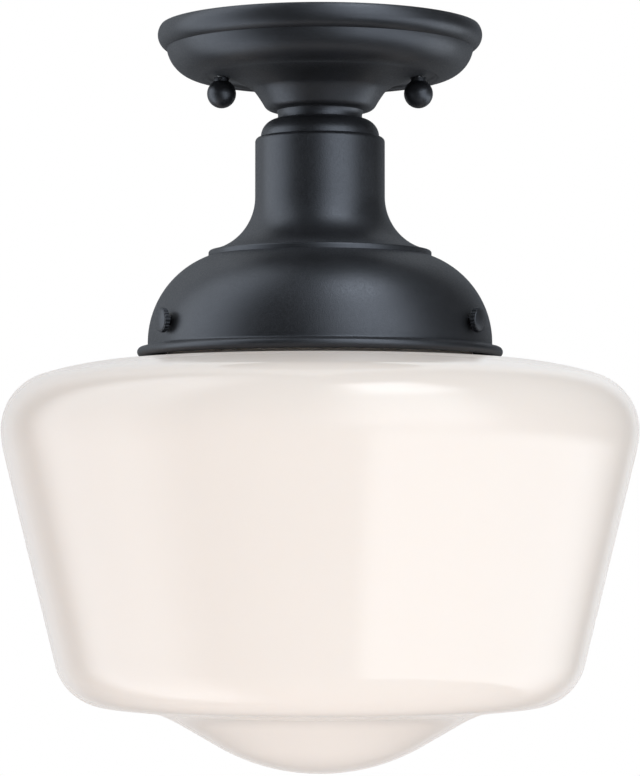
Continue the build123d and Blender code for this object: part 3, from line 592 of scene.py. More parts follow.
def closed(mesh):
    """Merge doubled points, point the faces outwards and shade smooth between sharp edges."""
    shape = bmesh.new()
    shape.from_mesh(mesh)
    bmesh.ops.remove_doubles(shape, verts=shape.verts, dist=SAME_PLACE)
    bmesh.ops.recalc_face_normals(shape, faces=shape.faces)
    shape.to_mesh(mesh)
    shape.free()
    mesh.shade_smooth()
    mesh.set_sharp_from_angle(angle=SHARP_EDGE)
    return mesh


def carried(node, bevel=0.0):
    """Copy of a CAD node's mesh with its triangles merged and, where asked, its edges broken."""
    shape = bmesh.new()
    shape.from_mesh(frame["nodes"][node].data)
    bmesh.ops.remove_doubles(shape, verts=shape.verts, dist=SAME_PLACE)
    if bevel:
        bmesh.ops.dissolve_limit(shape, angle_limit=FLAT_SEAM, verts=shape.verts, edges=shape.edges)
        sharp = [edge for edge in shape.edges if edge.calc_face_angle(0.0) > BROKEN_EDGE]
        bmesh.ops.bevel(shape, geom=sharp, offset=bevel, segments=2, profile=0.7, affect="EDGES",
                        clamp_overlap=True)
    mesh = bpy.data.meshes.new(node)
    shape.to_mesh(mesh)
    shape.free()
    mesh.shade_smooth()
    mesh.set_sharp_from_angle(angle=SHARP_EDGE)
    return mesh


def combined(*meshes):
    """One mesh of several."""
    shape = bmesh.new()
    for mesh in meshes:
        shape.from_mesh(mesh)
    whole = meshes[0].copy()
    shape.to_mesh(whole)
    shape.free()
    return whole


def cut(mesh, tools):
    """Mesh with tool meshes cut out of it."""
    body = bpy.data.objects.new("body", mesh)
    cutter = bpy.data.objects.new("cutter", combined(*tools))
    for holder in (body, cutter):
        bpy.context.scene.collection.objects.link(holder)
    modifier = body.modifiers.new("Cut", "BOOLEAN")
    modifier.operation = "DIFFERENCE"
    modifier.solver = "EXACT"
    modifier.object = cutter
    graph = bpy.context.evaluated_depsgraph_get()
    result = bpy.data.meshes.new_from_object(body.evaluated_get(graph))
    for holder in (body, cutter):
        bpy.data.objects.remove(holder)
    result.shade_smooth()
    result.set_sharp_from_angle(angle=SHARP_EDGE)
    return result


def rod_mesh(radius, start, end, place=None, sides=48):
    """Rod along Z between two levels, for cutting holes."""
    shape = bmesh.new()
    bmesh.ops.create_cone(shape, cap_ends=True, segments=sides, radius1=radius, radius2=radius,
                          depth=end - start)
    mesh = bpy.data.meshes.new("rod")
    shape.to_mesh(mesh)
    shape.free()
    mesh.transform((place or Matrix()) @ Matrix.Translation((0, 0, (start + end) / 2)))
    return mesh


def slot_cutter(centre, along, out, size):
    """Bar that cuts a screwdriver slot, its size given across, along and out of the head."""
    across = out.cross(along)
    shape = bmesh.new()
    bmesh.ops.create_cube(shape, size=1.0)
    mesh = bpy.data.meshes.new("slot")
    shape.to_mesh(mesh)
    shape.free()
    axes = Matrix((across * size[0], along * size[1], out * size[2])).transposed().to_4x4()
    mesh.transform(Matrix.Translation(centre) @ axes)
    return mesh


def radial(direction, height):
    """Turns the Z axis to a level direction from the light's axis, at a height."""
    turn, tip = Matrix.Rotation(math.radians(direction), 4, "Z"), Matrix.Rotation(math.radians(90), 4, "Y")
    return Matrix.Translation((0, 0, height)) @ turn @ tip


def slot_of(node):
    """Material slot of a node."""
    return next(part["material_slot"] for part in frame["record"]["subparts"] if part["node"] == node)


def present(mesh, node):
    """Show a finished mesh in place of a node, on the node's body and in its finish."""
    slot = slot_of(node)
    piece = bpy.data.objects.new("finished_" + node, mesh)
    bpy.context.scene.collection.objects.link(piece)
    mesh.materials.clear()
    mesh.materials.append(finish(slot))
    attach(piece, body_of(frame["nodes"][node])[0])
    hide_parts(node)
    return piece


# ---------------------------------------------------------------- finishes
def blank(name):
    """New material with its shader and the object's own coordinates."""
    material = bpy.data.materials.new(name)
    material.use_nodes = True
    tree = material.node_tree
    shader = tree.nodes["Principled BSDF"]
    place = tree.nodes.new("ShaderNodeTexCoord").outputs["Object"]
    return material, tree, shader, place


def mottled(tree, place, scale, low, high, detail=3.0):
    """Value that wanders between two limits in patches of a size."""
    noise = put(tree, "ShaderNodeTexNoise", {"Vector": place, "Scale": scale, "Detail": detail})
    return put(tree, "ShaderNodeMapRange", {"Value": noise.outputs["Fac"], "From Min": 0.3, "From Max": 0.7,
                                            "To Min": low, "To Max": high}).outputs["Result"]


def clouded(tree, shader, place, rgb, scale, dark, light):
    """Colour that wanders between a darker and a lighter tone of itself in patches of a size."""
    patches = mottled(tree, place, scale, 0.0, 1.0)
    blend = put(tree, "ShaderNodeMix", {
        "Factor": patches, "A": (*tone(rgb, dark), 1.0), "B": (*tone(rgb, light), 1.0)}, data_type="RGBA")
    tree.links.new(blend.outputs["Result"], shader.inputs["Base Color"])


def glancing(tree, start, most):
    """Roughness that grows from a slant, as Layer Weight gives it, up to its most at the limb."""
    slant = put(tree, "ShaderNodeLayerWeight", {"Blend": 0.5}).outputs["Facing"]
    return put(tree, "ShaderNodeMapRange", {
        "Value": slant, "From Min": start, "To Max": most}).outputs["Result"]


def grained(tree, shader, height, depth, strength=1.0):
    """Fine relief on a surface."""
    bump = put(tree, "ShaderNodeBump", {"Height": height, "Distance": depth, "Strength": strength})
    tree.links.new(bump.outputs["Normal"], shader.inputs["Normal"])


def from_axis(tree, place):
    """Distance of a point from the light's axis."""
    level = put(tree, "ShaderNodeVectorMath", {0: place, 1: (1.0, 1.0, 0.0)}, operation="MULTIPLY")
    distance = put(tree, "ShaderNodeVectorMath", {0: level.outputs["Vector"]}, operation="LENGTH")
    return distance.outputs["Value"]


def tone(rgb, factor):
    """Colour made lighter or darker."""
    return tuple(min(1.0, part * factor) for part in rgb)


def black_coat(name):
    """Satin black powder coat with its fine orange peel."""
    material, tree, shader, place = blank(name)
    clouded(tree, shader, place, settings().colours.black_coat, scale=70.0, dark=0.85, light=1.25)
    grain = mottled(tree, place, 1300.0, 0.32, 0.44, detail=1.0)
    dull = glancing(tree, start=0.5, most=0.45)
    tree.links.new(figure(tree, "ADD", grain, dull), shader.inputs["Roughness"])
    shader.inputs["Specular IOR Level"].default_value = 0.72
    shader.inputs["Specular Tint"].default_value = (0.82, 0.88, 1.0, 1.0)
    peel = put(tree, "ShaderNodeTexNoise", {"Vector": place, "Scale": 2000.0, "Detail": 2.0})
    grained(tree, shader, peel.outputs["Fac"], 0.07 * MM, 0.8)
    return material


def opal_glass(name):
    """Glossy opal glass with the slight waves of blown glass."""
    material, tree, shader, place = blank(name)
    clouded(tree, shader, place, settings().colours.opal, scale=9.0, dark=0.992, light=1.006)
    gloss = mottled(tree, place, 45.0, 0.04, 0.06)
    dull = glancing(tree, start=0.7, most=0.35)
    tree.links.new(figure(tree, "ADD", gloss, dull), shader.inputs["Roughness"])
    shader.inputs["IOR"].default_value = 1.5
    shader.inputs["Specular IOR Level"].default_value = 0.42
    shader.inputs["Subsurface Weight"].default_value = 0.3
    shader.inputs["Subsurface Radius"].default_value = (1.0, 0.9, 0.8)
    shader.inputs["Subsurface Scale"].default_value = 5.0 * MM
    waves = put(tree, "ShaderNodeTexNoise", {"Vector": place, "Scale": 16.0, "Detail": 1.5})
    grained(tree, shader, waves.outputs["Fac"], 0.25 * MM, 0.35)
    return material


def plated(name, rgb, rough, lines):
    """Bright plate or bare metal with fine drawing lines."""
    material, tree, shader, place = blank(name)
    shader.inputs["Metallic"].default_value = 1.0
    clouded(tree, shader, place, rgb, scale=180.0, dark=0.88, light=1.08)
    tree.links.new(mottled(tree, place, 900.0, rough * 0.8, rough * 1.25), shader.inputs["Roughness"])
    stretched = put(tree, "ShaderNodeMapping", {"Vector": place, "Scale": (1.0, lines, 1.0)})
    marks = put(tree, "ShaderNodeTexNoise", {"Vector": stretched.outputs["Vector"], "Scale": 700.0})
    grained(tree, shader, marks.outputs["Fac"], 0.02 * MM, 0.5)
    return material


def zinc_steel(name):
    """Zinc plated steel."""
    return plated(name, settings().colours.zinc, 0.34, 6.0)


def copper(name):
    """Bare copper wire."""
    return plated(name, settings().colours.copper, 0.28, 1.0)


def brass(name):
    """Brass as it leaves the lathe; outside the dome it was coated black with it."""
    colours, size = settings().colours, settings().dome
    material = plated(name, colours.brass, 0.26, 4.0)
    tree = material.node_tree
    shader = tree.nodes["Principled BSDF"]
    drop = top("fitter_dome") - size.bend - middle("screw_bushes").z
    skin = size.flat + math.sqrt(size.bend ** 2 - drop ** 2)
    place = tree.nodes["Texture Coordinate"].outputs["Object"]
    bare_to, coated_from = skin - 1.6 * MM, skin - 1.2 * MM
    coated = put(tree, "ShaderNodeMapRange", {
        "Value": from_axis(tree, place), "From Min": bare_to, "From Max": coated_from}).outputs["Result"]
    bare = shader.inputs["Base Color"].links[0].from_socket
    tinted = put(tree, "ShaderNodeMix", {"Factor": coated, "A": bare, "B": (*colours.black_coat, 1.0)},
                 data_type="RGBA")
    tree.links.new(tinted.outputs["Result"], shader.inputs["Base Color"])
    tree.links.new(figure(tree, "SUBTRACT", 1.0, coated), shader.inputs["Metallic"])
    return material


def nickel(name):
    """Nickel plated sheet."""
    return plated(name, settings().colours.nickel, 0.20, 1.0)


def solder(name):
    """Dull solder."""
    return plated(name, settings().colours.solder, 0.45, 1.0)


def moulded(name, rgb, rough, grain, depth):
    """Moulded or dipped surface with a fine grain."""
    material, tree, shader, place = blank(name)
    clouded(tree, shader, place, rgb, scale=120.0, dark=0.93, light=1.05)
    tree.links.new(mottled(tree, place, grain, rough * 0.85, rough * 1.2), shader.inputs["Roughness"])
    skin = put(tree, "ShaderNodeTexNoise", {"Vector": place, "Scale": grain * 2, "Detail": 2.0})
    grained(tree, shader, skin.outputs["Fac"], depth, 0.5)
    return material


def green_screw(name):
    """Green dyed zinc on the ground screw."""
    material = moulded(name, settings().colours.green, 0.35, 600.0, 0.02 * MM)
    material.node_tree.nodes["Principled BSDF"].inputs["Metallic"].default_value = 0.6
    return material


def porcelain(name):
    """White glazed porcelain."""
    material = moulded(name, settings().colours.porcelain, 0.14, 90.0, 0.04 * MM)
    material.node_tree.nodes["Principled BSDF"].inputs["Coat Weight"].default_value = 0.6
    return material


def black_insulation(name):
    """Black insulation of a lead."""
    return moulded(name, settings().colours.black_lead, 0.42, 800.0, 0.02 * MM)


def white_insulation(name):
    """White insulation of a lead."""
    return moulded(name, settings().colours.white_lead, 0.42, 800.0, 0.02 * MM)


def connector_plastic(name):
    """Glossy plastic of the wire connectors."""
    return moulded(name, settings().colours.connector, 0.24, 400.0, 0.03 * MM)


def dark_glass(name):
    """Dark glass of the lamp's base."""
    return moulded(name, settings().colours.dark_glass, 0.12, 200.0, 0.03 * MM)


def frosted_glass(name):
    """Frosted envelope of the lamp."""
    material = moulded(name, settings().colours.frosted, 0.48, 1200.0, 0.01 * MM)
    shader = material.node_tree.nodes["Principled BSDF"]
    shader.inputs["Transmission Weight"].default_value = 0.25
    shader.inputs["IOR"].default_value = 1.45
    return material


FINISHES = {
    "black_metal": black_coat, "opal_glass": opal_glass, "zinc_steel": zinc_steel,
    "green_screw": green_screw, "copper": copper, "brass": brass, "porcelain": porcelain, "nickel": nickel,
    "black_insulation": black_insulation, "white_insulation": white_insulation,
    "connector_plastic": connector_plastic, "solder": solder, "dark_glass": dark_glass,
    "frosted_glass": frosted_glass,
}


def finish(slot):
    """Material of a slot of the record."""
    name = slot.replace("_", " ") + " finish"
    return bpy.data.materials.get(name) or FINISHES[slot](name)


# ---------------------------------------------------------------- canopy and its nuts
def canopy_outline():
    """Outer face of the pan, from the ceiling down to the hub's hole."""
    size = settings().canopy
    turn, steep = math.degrees(size.trumpet_turn), math.degrees(size.hub_slope)
    ridge_reach = middle("ball_nut_right").x + size.dish_land
    dish_z = size.dish_depth - size.ridge_drop
    knee = size.ridge_nose + size.valley_radius
    rise = math.degrees(math.acos(1 - size.dish_depth / knee))
    valley_reach = ridge_reach - knee * math.sin(math.radians(rise))
    trumpet = (valley_reach, dish_z - size.trumpet_radius)
    hub_z = foot("canopy")
    bead = (ridge_reach + size.side_run - size.bead_radius, -size.bead_drop)
    side = (ridge_reach, size.side_radius - size.ridge_drop)
    crease = crossing(bead, size.bead_radius, side, size.side_radius)
    ceiling = math.degrees(math.asin(size.bead_drop / size.bead_radius))
    hub = (size.hub_reach - size.hub_round * math.sin(size.hub_slope), hub_z + size.hub_round)
    mouth = polar(trumpet, size.trumpet_radius, 90 + turn)
    side_foot = polar(hub, size.hub_round, steep - 90)
    bend = meeting(mouth, turn, side_foot, steep)
    return joined(
        arc(bead, size.bead_radius, ceiling, direction_to(bead, crease)),
        arc(side, size.side_radius, direction_to(side, crease), -90),
        arc((ridge_reach, size.ridge_nose - size.ridge_drop), size.ridge_nose, 270, 270 - rise),
        arc((valley_reach, dish_z - size.valley_radius), size.valley_radius, 90 - rise, 90),
        arc(trumpet, size.trumpet_radius, 90, 90 + turn),
        eased(mouth, bend, side_foot, steps=16),
        arc(hub, size.hub_round, steep - 90, -90),
        [(settings().stack.bore, hub_z)])


class MakeCanopy(bpy.types.Operator):
    """Spin the canopy and cut its two stud holes"""
    bl_idname = "ceiling_light.canopy"
    bl_label = "Canopy"

    def execute(self, context):
        size = settings().canopy
        hole = settings().fasteners.stud_radius + size.hole_gap
        pan = turned(walled(canopy_outline(), size.wall), "black_metal", segments=192)
        studs = [Matrix.Translation((side * middle("ball_nut_right").x, 0, 0)) for side in (-1, 1)]
        present(cut(pan, [rod_mesh(hole, foot("canopy"), 0, stud) for stud in studs]), "canopy")
        return {"FINISHED"}


class MakeBallNuts(bpy.types.Operator):
    """Turn the two ball shaped cap nuts under the canopy"""
    bl_idname = "ceiling_light.ball_nuts"
    bl_label = "Ball nuts"

    def execute(self, context):
        size = settings().fasteners
        for node in ("ball_nut_left", "ball_nut_right"):
            ball = (0, foot(node) + size.ball_radius)
            neck_turn = math.degrees(math.acos(size.ball_neck / size.ball_radius))
            hole, hole_end = size.stud_radius, ball[1] - size.ball_hole
            seat = top(node) + size.neck_sink
            outline = joined([(0, hole_end), (hole, hole_end), (hole, seat), (size.ball_neck, seat)],
                             arc(ball, size.ball_radius, neck_turn, -90))
            place = Matrix.Translation((middle(node).x, 0, 0))
            present(turned(outline, "black_metal", place, segments=96), node)
        return {"FINISHED"}


# ---------------------------------------------------------------- collar, cap and column
class MakeCollarAndCap(bpy.types.Operator):
    """Turn the collar and the quarter round cap"""
    bl_idname = "ceiling_light.collar_and_cap"
    bl_label = "Collar and cap"

    def execute(self, context):
        size = settings().stack
        upper, lower = (size.collar_top, top("collar")), (size.collar_foot, foot("collar"))
        edge = hollow_edge(upper, lower, size.collar_cove)
        outline = ring(joined([(size.bore, upper[1])], edge, [(size.bore, lower[1])]))
        present(turned(outline, "black_metal", segments=160), "collar")
        centre = (size.cap_flat, top("column_cap") - size.cap_round)
        cap = joined([(size.bore, top("column_cap"))], arc(centre, size.cap_round, 90, 0),
                     [(size.cap_flat + size.cap_round, foot("column_cap"))])
        present(turned(walled(cap, size.cap_wall), "black_metal", segments=160), "column_cap")
        return {"FINISHED"}


class MakeColumn(bpy.types.Operator):
    """Spin the column, its bell and the lip that lies on the dome"""
    bl_idname = "ceiling_light.column"
    bl_label = "Column"

    def execute(self, context):
        size, dome = settings().stack, settings().dome
        lip_x = size.lip_reach - size.lip_round
        bend_centre = (dome.flat, top("fitter_dome") - dome.bend)
        seat = math.sqrt((dome.bend + size.lip_round) ** 2 - (lip_x - dome.flat) ** 2)
        lip = (lip_x, bend_centre[1] + seat)
        slant = 90 - math.degrees(size.flare_slope)
        flare_end = polar(lip, size.lip_round, slant)
        flare_x = size.column_radius + size.flare_radius
        swing = math.acos((flare_x - flare_end[0]) / size.flare_radius)
        flare_z = flare_end[1] + size.flare_radius * math.sin(swing)
        shoulder = (size.column_radius - size.column_shoulder, top("column") - size.column_shoulder)
        outline = joined(
            [(size.bore, top("column"))],
            arc(shoulder, size.column_shoulder, 90, 0),
            arc((flare_x, flare_z), size.flare_radius, 180, 180 + math.degrees(swing)),
            arc(lip, size.lip_round, slant, 0))
        edges = [size.lip_reach, size.lip_reach - size.column_wall]
        edges = [(x, bend_centre[1] + math.sqrt(dome.bend ** 2 - (x - dome.flat) ** 2)) for x in edges]
        profile = ring(outline + edges + inside(outline, size.column_wall)[::-1])
        present(turned(profile, "black_metal", segments=192), "column")
        return {"FINISHED"}


# ---------------------------------------------------------------- dome, its screws and the globe
class MakeDome(bpy.types.Operator):
    """Spin the dome with its curled rim and drill the three bush holes"""
    bl_idname = "ceiling_light.dome"
    bl_label = "Dome"

    def execute(self, context):
        size = settings().dome
        crown_z = top("fitter_dome")
        skirt_x = size.flat + size.bend
        skirt_z = crown_z - size.bend - size.skirt
        bead = (skirt_x + size.rim_cove + size.rim_land, skirt_z - size.rim_cove - size.rim_bead)
        outline = joined(
            [(settings().stack.bore, crown_z)],
            arc((size.flat, crown_z - size.bend), size.bend, 90, 0),
            arc((skirt_x + size.rim_cove, skirt_z), size.rim_cove, 180, 270),
            arc(bead, size.rim_bead, 90, -90))
        shell = turned(walled(outline, size.wall), "black_metal", segments=192)
        height = middle("screw_bushes").z
        holes = [rod_mesh(size.bush_radius, size.flat, reach("globe"), radial(direction, height))
                 for direction in SCREW_DIRECTIONS.values()]
        present(cut(shell, holes), "fitter_dome")
        return {"FINISHED"}


class MakeThumbscrews(bpy.types.Operator):
    """Turn, knurl and thread the three thumbscrews"""
    bl_idname = "ceiling_light.thumbscrews"
    bl_label = "Thumbscrews"

    def execute(self, context):
        size = settings().fasteners
        height = middle("thumbscrew_back").z
        tip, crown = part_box("thumbscrew_back")[0].y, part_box("thumbscrew_back")[1].y
        face = crown - size.head_crown
        back = face - size.head_thickness
        root = size.head_radius - size.knurl_radius * size.knurl_depth
        flat = root - size.head_edge
        dome_radius = (flat ** 2 + size.head_crown ** 2) / (2 * size.head_crown)
        half = math.degrees(math.asin(flat / dome_radius))
        head = joined(
            [(0, back), (flat, back), (root, back + size.head_edge), (root, face - size.head_edge)],
            arc((0, crown - dome_radius), dome_radius, 90 - half, 90))
        shank = size.stud_radius - size.thread_depth
        rod = [(0, tip), (shank - size.thread_depth, tip), (shank, tip + size.thread_depth),
               (shank, back + size.head_edge), (0, back + size.head_edge)]
        ribs_length = size.head_thickness - size.head_edge
        for name, direction in SCREW_DIRECTIONS.items():
            place = radial(direction, height)
            ribs = grown("Rim ribs", "black_metal", Count=size.knurls,
                         Reach=size.head_radius - size.knurl_radius, Rib_radius=size.knurl_radius,
                         Rib_length=ribs_length, Sides=10)
            ribs.transform(place @ Matrix.Translation((0, 0, (back + face) / 2)))
            thread = threaded("black_metal", size.stud_radius, tip, back, size.thread_pitch,
                              size.thread_depth, place)
            screw = combined(turned(head, "black_metal", place, segments=96),
                             turned(rod, "black_metal", place, segments=32), closed(ribs), thread)
            present(screw, "thumbscrew_" + name)
        return {"FINISHED"}


class MakeGlobe(bpy.types.Operator):
    """Blow the globe: lip, neck, shoulder, taper, foot and stepped bowl"""
    bl_idname = "ceiling_light.globe"
    bl_label = "Globe"

    def execute(self, context):
        present(turned(globe_outline(), "opal_glass", segments=224), "globe")
        return {"FINISHED"}


def globe_outline():
    """Half section of the glass, from the bottom pole up over the lip and down the inside."""
    size = settings().globe
    lip_top, widest = top("globe"), reach("globe")
    lip_foot = lip_top - size.lip_height
    shoulder_z = lip_foot - size.neck_height
    crown, taper = math.degrees(size.crown_slope), math.degrees(size.taper)
    foot_slope, bowl_slope = math.degrees(size.foot_slope), math.degrees(size.bowl_slope)
    bowl_start = math.degrees(size.bowl_start)
    round_x = widest - size.shoulder_round
    crown_centre = (round_x + (size.shoulder_round - size.crown_radius) * math.sin(size.crown_slope),
                    shoulder_z - size.crown_radius)
    round_z = crown_centre[1] + (size.crown_radius - size.shoulder_round) * math.cos(size.crown_slope)
    waist_centre = (widest - size.waist_round, round_z)
    taper_top = polar(waist_centre, size.waist_round, -taper)
    taper_foot = (taper_top[0] - size.taper_height * math.tan(size.taper), taper_top[1] - size.taper_height)
    foot_centre = polar(taper_foot, size.foot_round, 180 - taper)
    foot_end = polar(foot_centre, size.foot_round, foot_slope - 90)
    notch = (size.notch_radius, foot_end[1] - (foot_end[0] - size.notch_radius) * math.tan(size.foot_slope))
    cove_centre = polar(notch, size.bowl_cove, bowl_start - 90)
    cove_end = polar(cove_centre, size.bowl_cove, bowl_slope + 90)
    bowl_edge_x = size.bowl_radius * math.sin(size.bowl_slope)
    bowl_edge_z = cove_end[1] - (cove_end[0] - bowl_edge_x) * math.tan(size.bowl_slope)
    bowl_centre = (0, bowl_edge_z + size.bowl_radius * math.cos(size.bowl_slope))
    neck_turn = (size.neck_radius + size.neck_fillet, shoulder_z + size.neck_fillet)
    edge = size.lip_edge
    groove = (size.neck_radius + edge, lip_foot - edge)
    outer = joined(
        [(size.neck_radius, lip_foot)],
        arc(neck_turn, size.neck_fillet, 180, 270),
        arc(crown_centre, size.crown_radius, 90, 90 - crown),
        arc((round_x, round_z), size.shoulder_round, 90 - crown, 0),
        arc(waist_centre, size.waist_round, 0, -taper),
        arc(foot_centre, size.foot_round, -taper, foot_slope - 90),
        [notch],
        arc(cove_centre, size.bowl_cove, bowl_start + 90, bowl_slope + 90),
        arc(bowl_centre, size.bowl_radius, bowl_slope - 90, -90))
    inner = inside(outer, size.wall)
    bore = size.neck_radius - size.wall
    lip = joined(
        arc((bore + edge, lip_top - edge), edge, 180, 90),
        arc((size.lip_radius - edge, lip_top - edge), edge, 90, 0),
        arc((size.lip_radius - edge, lip_foot + edge), edge, 0, -90),
        arc(groove, edge, 90, 180))
    return joined(inner[::-1], lip, softened(outer[1:], notch, size.notch_fillet))


# ---------------------------------------------------------------- straps, screws and the threaded tube
# Bevels of the pieces that keep their CAD shape, in millimetres.
STEEL_EDGES = {
    "box_bar": 0.25, "stud_bar": 0.25, "stud_locknuts": 0.25, "nipple_nut_top": 0.3,
    "nipple_nut_bottom": 0.3, "lock_washers": 0.12, "screw_bushes": 0.15, "ground_screw": 0.2,
    "bar_eyelet": 0.0, "socket_bracket": 0.25}
SOCKET_EDGES = {"socket_body": 0.3, "socket_contact": 0.1}


class MakeStraps(bpy.types.Operator):
    """Break the edges of the straps, nuts, washers, bushes and the ground screw"""
    bl_idname = "ceiling_light.straps"
    bl_label = "Straps and small steel"

    def execute(self, context):
        for node, edge in STEEL_EDGES.items():
            present(carried(node, edge * MM), node)
        return {"FINISHED"}


class MakeStuds(bpy.types.Operator):
    """Thread and slot the canopy's studs and the small screws of the socket"""
    bl_idname = "ceiling_light.studs"
    bl_label = "Studs and small screws"

    def execute(self, context):
        size = settings().fasteners
        low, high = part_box("canopy_studs")
        reach_x = middle("ball_nut_right").x
        head_z = high.z - size.stud_head
        radius = high.x - reach_x
        core = size.stud_radius - size.thread_depth
        round_part = size.stud_head / 2
        outline = joined([(0, low.z), (core - size.thread_depth, low.z), (core, low.z + size.thread_depth),
                          (core, head_z), (radius, head_z)],
                         arc((radius - round_part, high.z - round_part), round_part, 0, 90), [(0, high.z)])
        studs = []
        for side in (-1, 1):
            place = Matrix.Translation((side * reach_x, 0, 0))
            slot = slot_cutter(Vector((side * reach_x, 0, high.z)), Vector((0, 1, 0)), Vector((0, 0, 1)),
                               (size.slot_width, SLOT_LENGTH, size.slot_depth * 2))
            studs.append(cut(turned(outline, "zinc_steel", place, segments=48), [slot]))
            studs.append(threaded("zinc_steel", size.stud_radius, low.z, head_z, size.thread_pitch,
                                  size.thread_depth, place))
        present(combined(*studs), "canopy_studs")
        for node, out in (("bracket_screws", Vector((1, 0, 0))), ("terminal_screws", Vector((0, 1, 0)))):
            present(self.slotted(node, out), node)
        return {"FINISHED"}

    def slotted(self, node, out):
        """Pair of round head screws with a slot in each outer face."""
        size = settings().fasteners
        low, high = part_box(node)
        half = (high - low).dot(out) / 2
        slots = [slot_cutter(middle(node) + out * (side * half), Vector((0, 0, 1)), out,
                             (size.slot_width, SLOT_LENGTH, size.slot_depth)) for side in (-1, 1)]
        return cut(carried(node), slots)


class MakeNipple(bpy.types.Operator):
    """Turn and thread the tube through the stack"""
    bl_idname = "ceiling_light.nipple"
    bl_label = "Threaded tube"

    def execute(self, context):
        size = settings().fasteners
        core = size.nipple_radius - size.nipple_depth
        low, high = foot("nipple"), top("nipple")
        outline = ring([(size.nipple_bore, low), (core, low), (core, high), (size.nipple_bore, high)])
        tube = combined(
            turned(outline, "zinc_steel", segments=72),
            threaded("zinc_steel", size.nipple_radius, low, high, size.nipple_pitch, size.nipple_depth))
        present(tube, "nipple")
        return {"FINISHED"}


# ---------------------------------------------------------------- socket, lamp and wiring
class MakeSocket(bpy.types.Operator):
    """Finish the porcelain socket, its contact and its rolled screw shell"""
    bl_idname = "ceiling_light.socket"
    bl_label = "Socket"

    def execute(self, context):
        size = settings().lamp
        for node, edge in SOCKET_EDGES.items():
            present(carried(node, edge * MM), node)
        low, high = foot("socket_shell"), top("socket_shell")
        outer = reach("socket_shell")
        inner = outer - size.shell_wall
        hole = outer / 2
        outline = ring([(hole, high), (outer, high), (outer, low), (inner, low),
                        (inner, high - size.shell_wall), (hole, high - size.shell_wall)])
        roll = size.shell_wall / 2
        shell = combined(
            turned(outline, "nickel", segments=96),
            threaded("nickel", outer, low + roll, high - roll, size.base_pitch, roll, sides=10))
        present(shell, "socket_shell")
        return {"FINISHED"}


class MakeLamp(bpy.types.Operator):
    """Make the lamp: contact, insulator, threaded cap and pear shaped envelope"""
    bl_idname = "ceiling_light.lamp"
    bl_label = "Lamp"

    def execute(self, context):
        size = settings().lamp
        contact = reach("bulb_contact")
        rise = top("bulb_contact") - foot("bulb_contact")
        blob = joined([(0, foot("bulb_contact")), (contact, foot("bulb_contact"))],
                      arc((contact - rise, foot("bulb_contact")), rise, 0, 90), [(0, top("bulb_contact"))])
        present(turned(blob, "solder", segments=64), "bulb_contact")
        wide = reach("bulb_insulator")
        cone = [(0, foot("bulb_insulator")), (wide, foot("bulb_insulator")),
                (contact, top("bulb_insulator")), (0, top("bulb_insulator"))]
        present(turned(cone, "dark_glass", segments=96), "bulb_insulator")
        present(self.cap(), "bulb_cap")
        present(self.envelope(), "bulb_glass")
        return {"FINISHED"}

    def cap(self):
        """Nickel cap with its rolled thread."""
        size = settings().lamp
        low, high = foot("bulb_cap"), top("bulb_cap")
        core = reach("bulb_cap") - size.base_depth
        bend = size.base_depth * 2
        outline = ring(joined(
            [(size.cap_hole, high - size.cap_wall), (size.cap_hole, high)],
            arc((core - bend, high - bend), bend, 90, 0),
            [(core, low + bend), (reach("bulb_cap") - size.cap_wall / 2, low), (core - size.cap_wall, low),
             (core - size.cap_wall, high - bend)]))
        thread = threaded("nickel", reach("bulb_cap"), low + bend, high - bend / 2, size.base_pitch,
                          size.base_depth, sides=12)
        return combined(turned(outline, "nickel", segments=96), thread)

    def envelope(self):
        """Glass envelope, closed at the bottom."""
        size = settings().lamp
        centre = (0, foot("bulb_glass") + size.bulb_radius)
        neck_foot = foot("bulb_cap") - size.neck_length
        neck = reach("bulb_cap") + size.neck_stand
        rise = neck_foot - centre[1]
        join = math.degrees(math.atan2(rise, neck) - math.acos(size.bulb_radius / math.hypot(neck, rise)))
        outer = joined([(neck, foot("bulb_cap") - size.neck_gap), (neck, neck_foot)],
                       arc(centre, size.bulb_radius, join, -90))
        return turned(joined(inside(outer, size.glass_wall)[::-1], outer), "frosted_glass", segments=128)


class MakeWiring(bpy.types.Operator):
    """Finish the leads, the ground wire and the ribbed wire connectors"""
    bl_idname = "ceiling_light.wiring"
    bl_label = "Wiring"

    def execute(self, context):
        size = settings().lamp
        for node in ("black_lead", "white_lead", "ground_wire"):
            present(carried(node), node)
        present(combined(*[self.connector(side) for side in (-1, 1)]), "wire_connectors")
        return {"FINISHED"}

    def connector(self, side):
        """Ribbed cone of one connector, its mouth towards the lead."""
        size = settings().lamp
        run = Vector((side * math.cos(size.connector_slant), -math.sin(size.connector_slant), 0))
        mouth = Vector((side * size.connector_side, -size.connector_front, middle("wire_connectors").z))
        place = Matrix.Translation(mouth) @ run.to_track_quat("Z", "Y").to_matrix().to_4x4()
        rib, end = size.rib_radius, size.connector_length
        wide, narrow = size.connector_mouth - rib, size.connector_tip - rib
        rim = size.connector_mouth - size.mouth_step
        tip_round = narrow * 0.6
        outline = ring(joined(
            [(size.connector_bore, 0), (rim, 0), (rim, size.mouth_band),
             (wide - rib / 2, size.mouth_band + size.mouth_slope)],
            arc((narrow - tip_round, end - tip_round), tip_round, 0, 90),
            [(0, end), (0, size.connector_depth), (size.connector_bore, size.connector_depth)]))[:-1]
        ribs = grown("Rim ribs", "connector_plastic", Count=size.connector_ribs,
                     Reach=(wide + narrow) / 2 - rib / 4, Rib_radius=rib, Rib_length=end * size.rib_run,
                     Lean=-math.atan2(wide - narrow, end), Sides=8)
        ribs.transform(place @ Matrix.Translation((0, 0, end * size.rib_middle)))
        return combined(turned(outline, "connector_plastic", place, segments=64), closed(ribs))


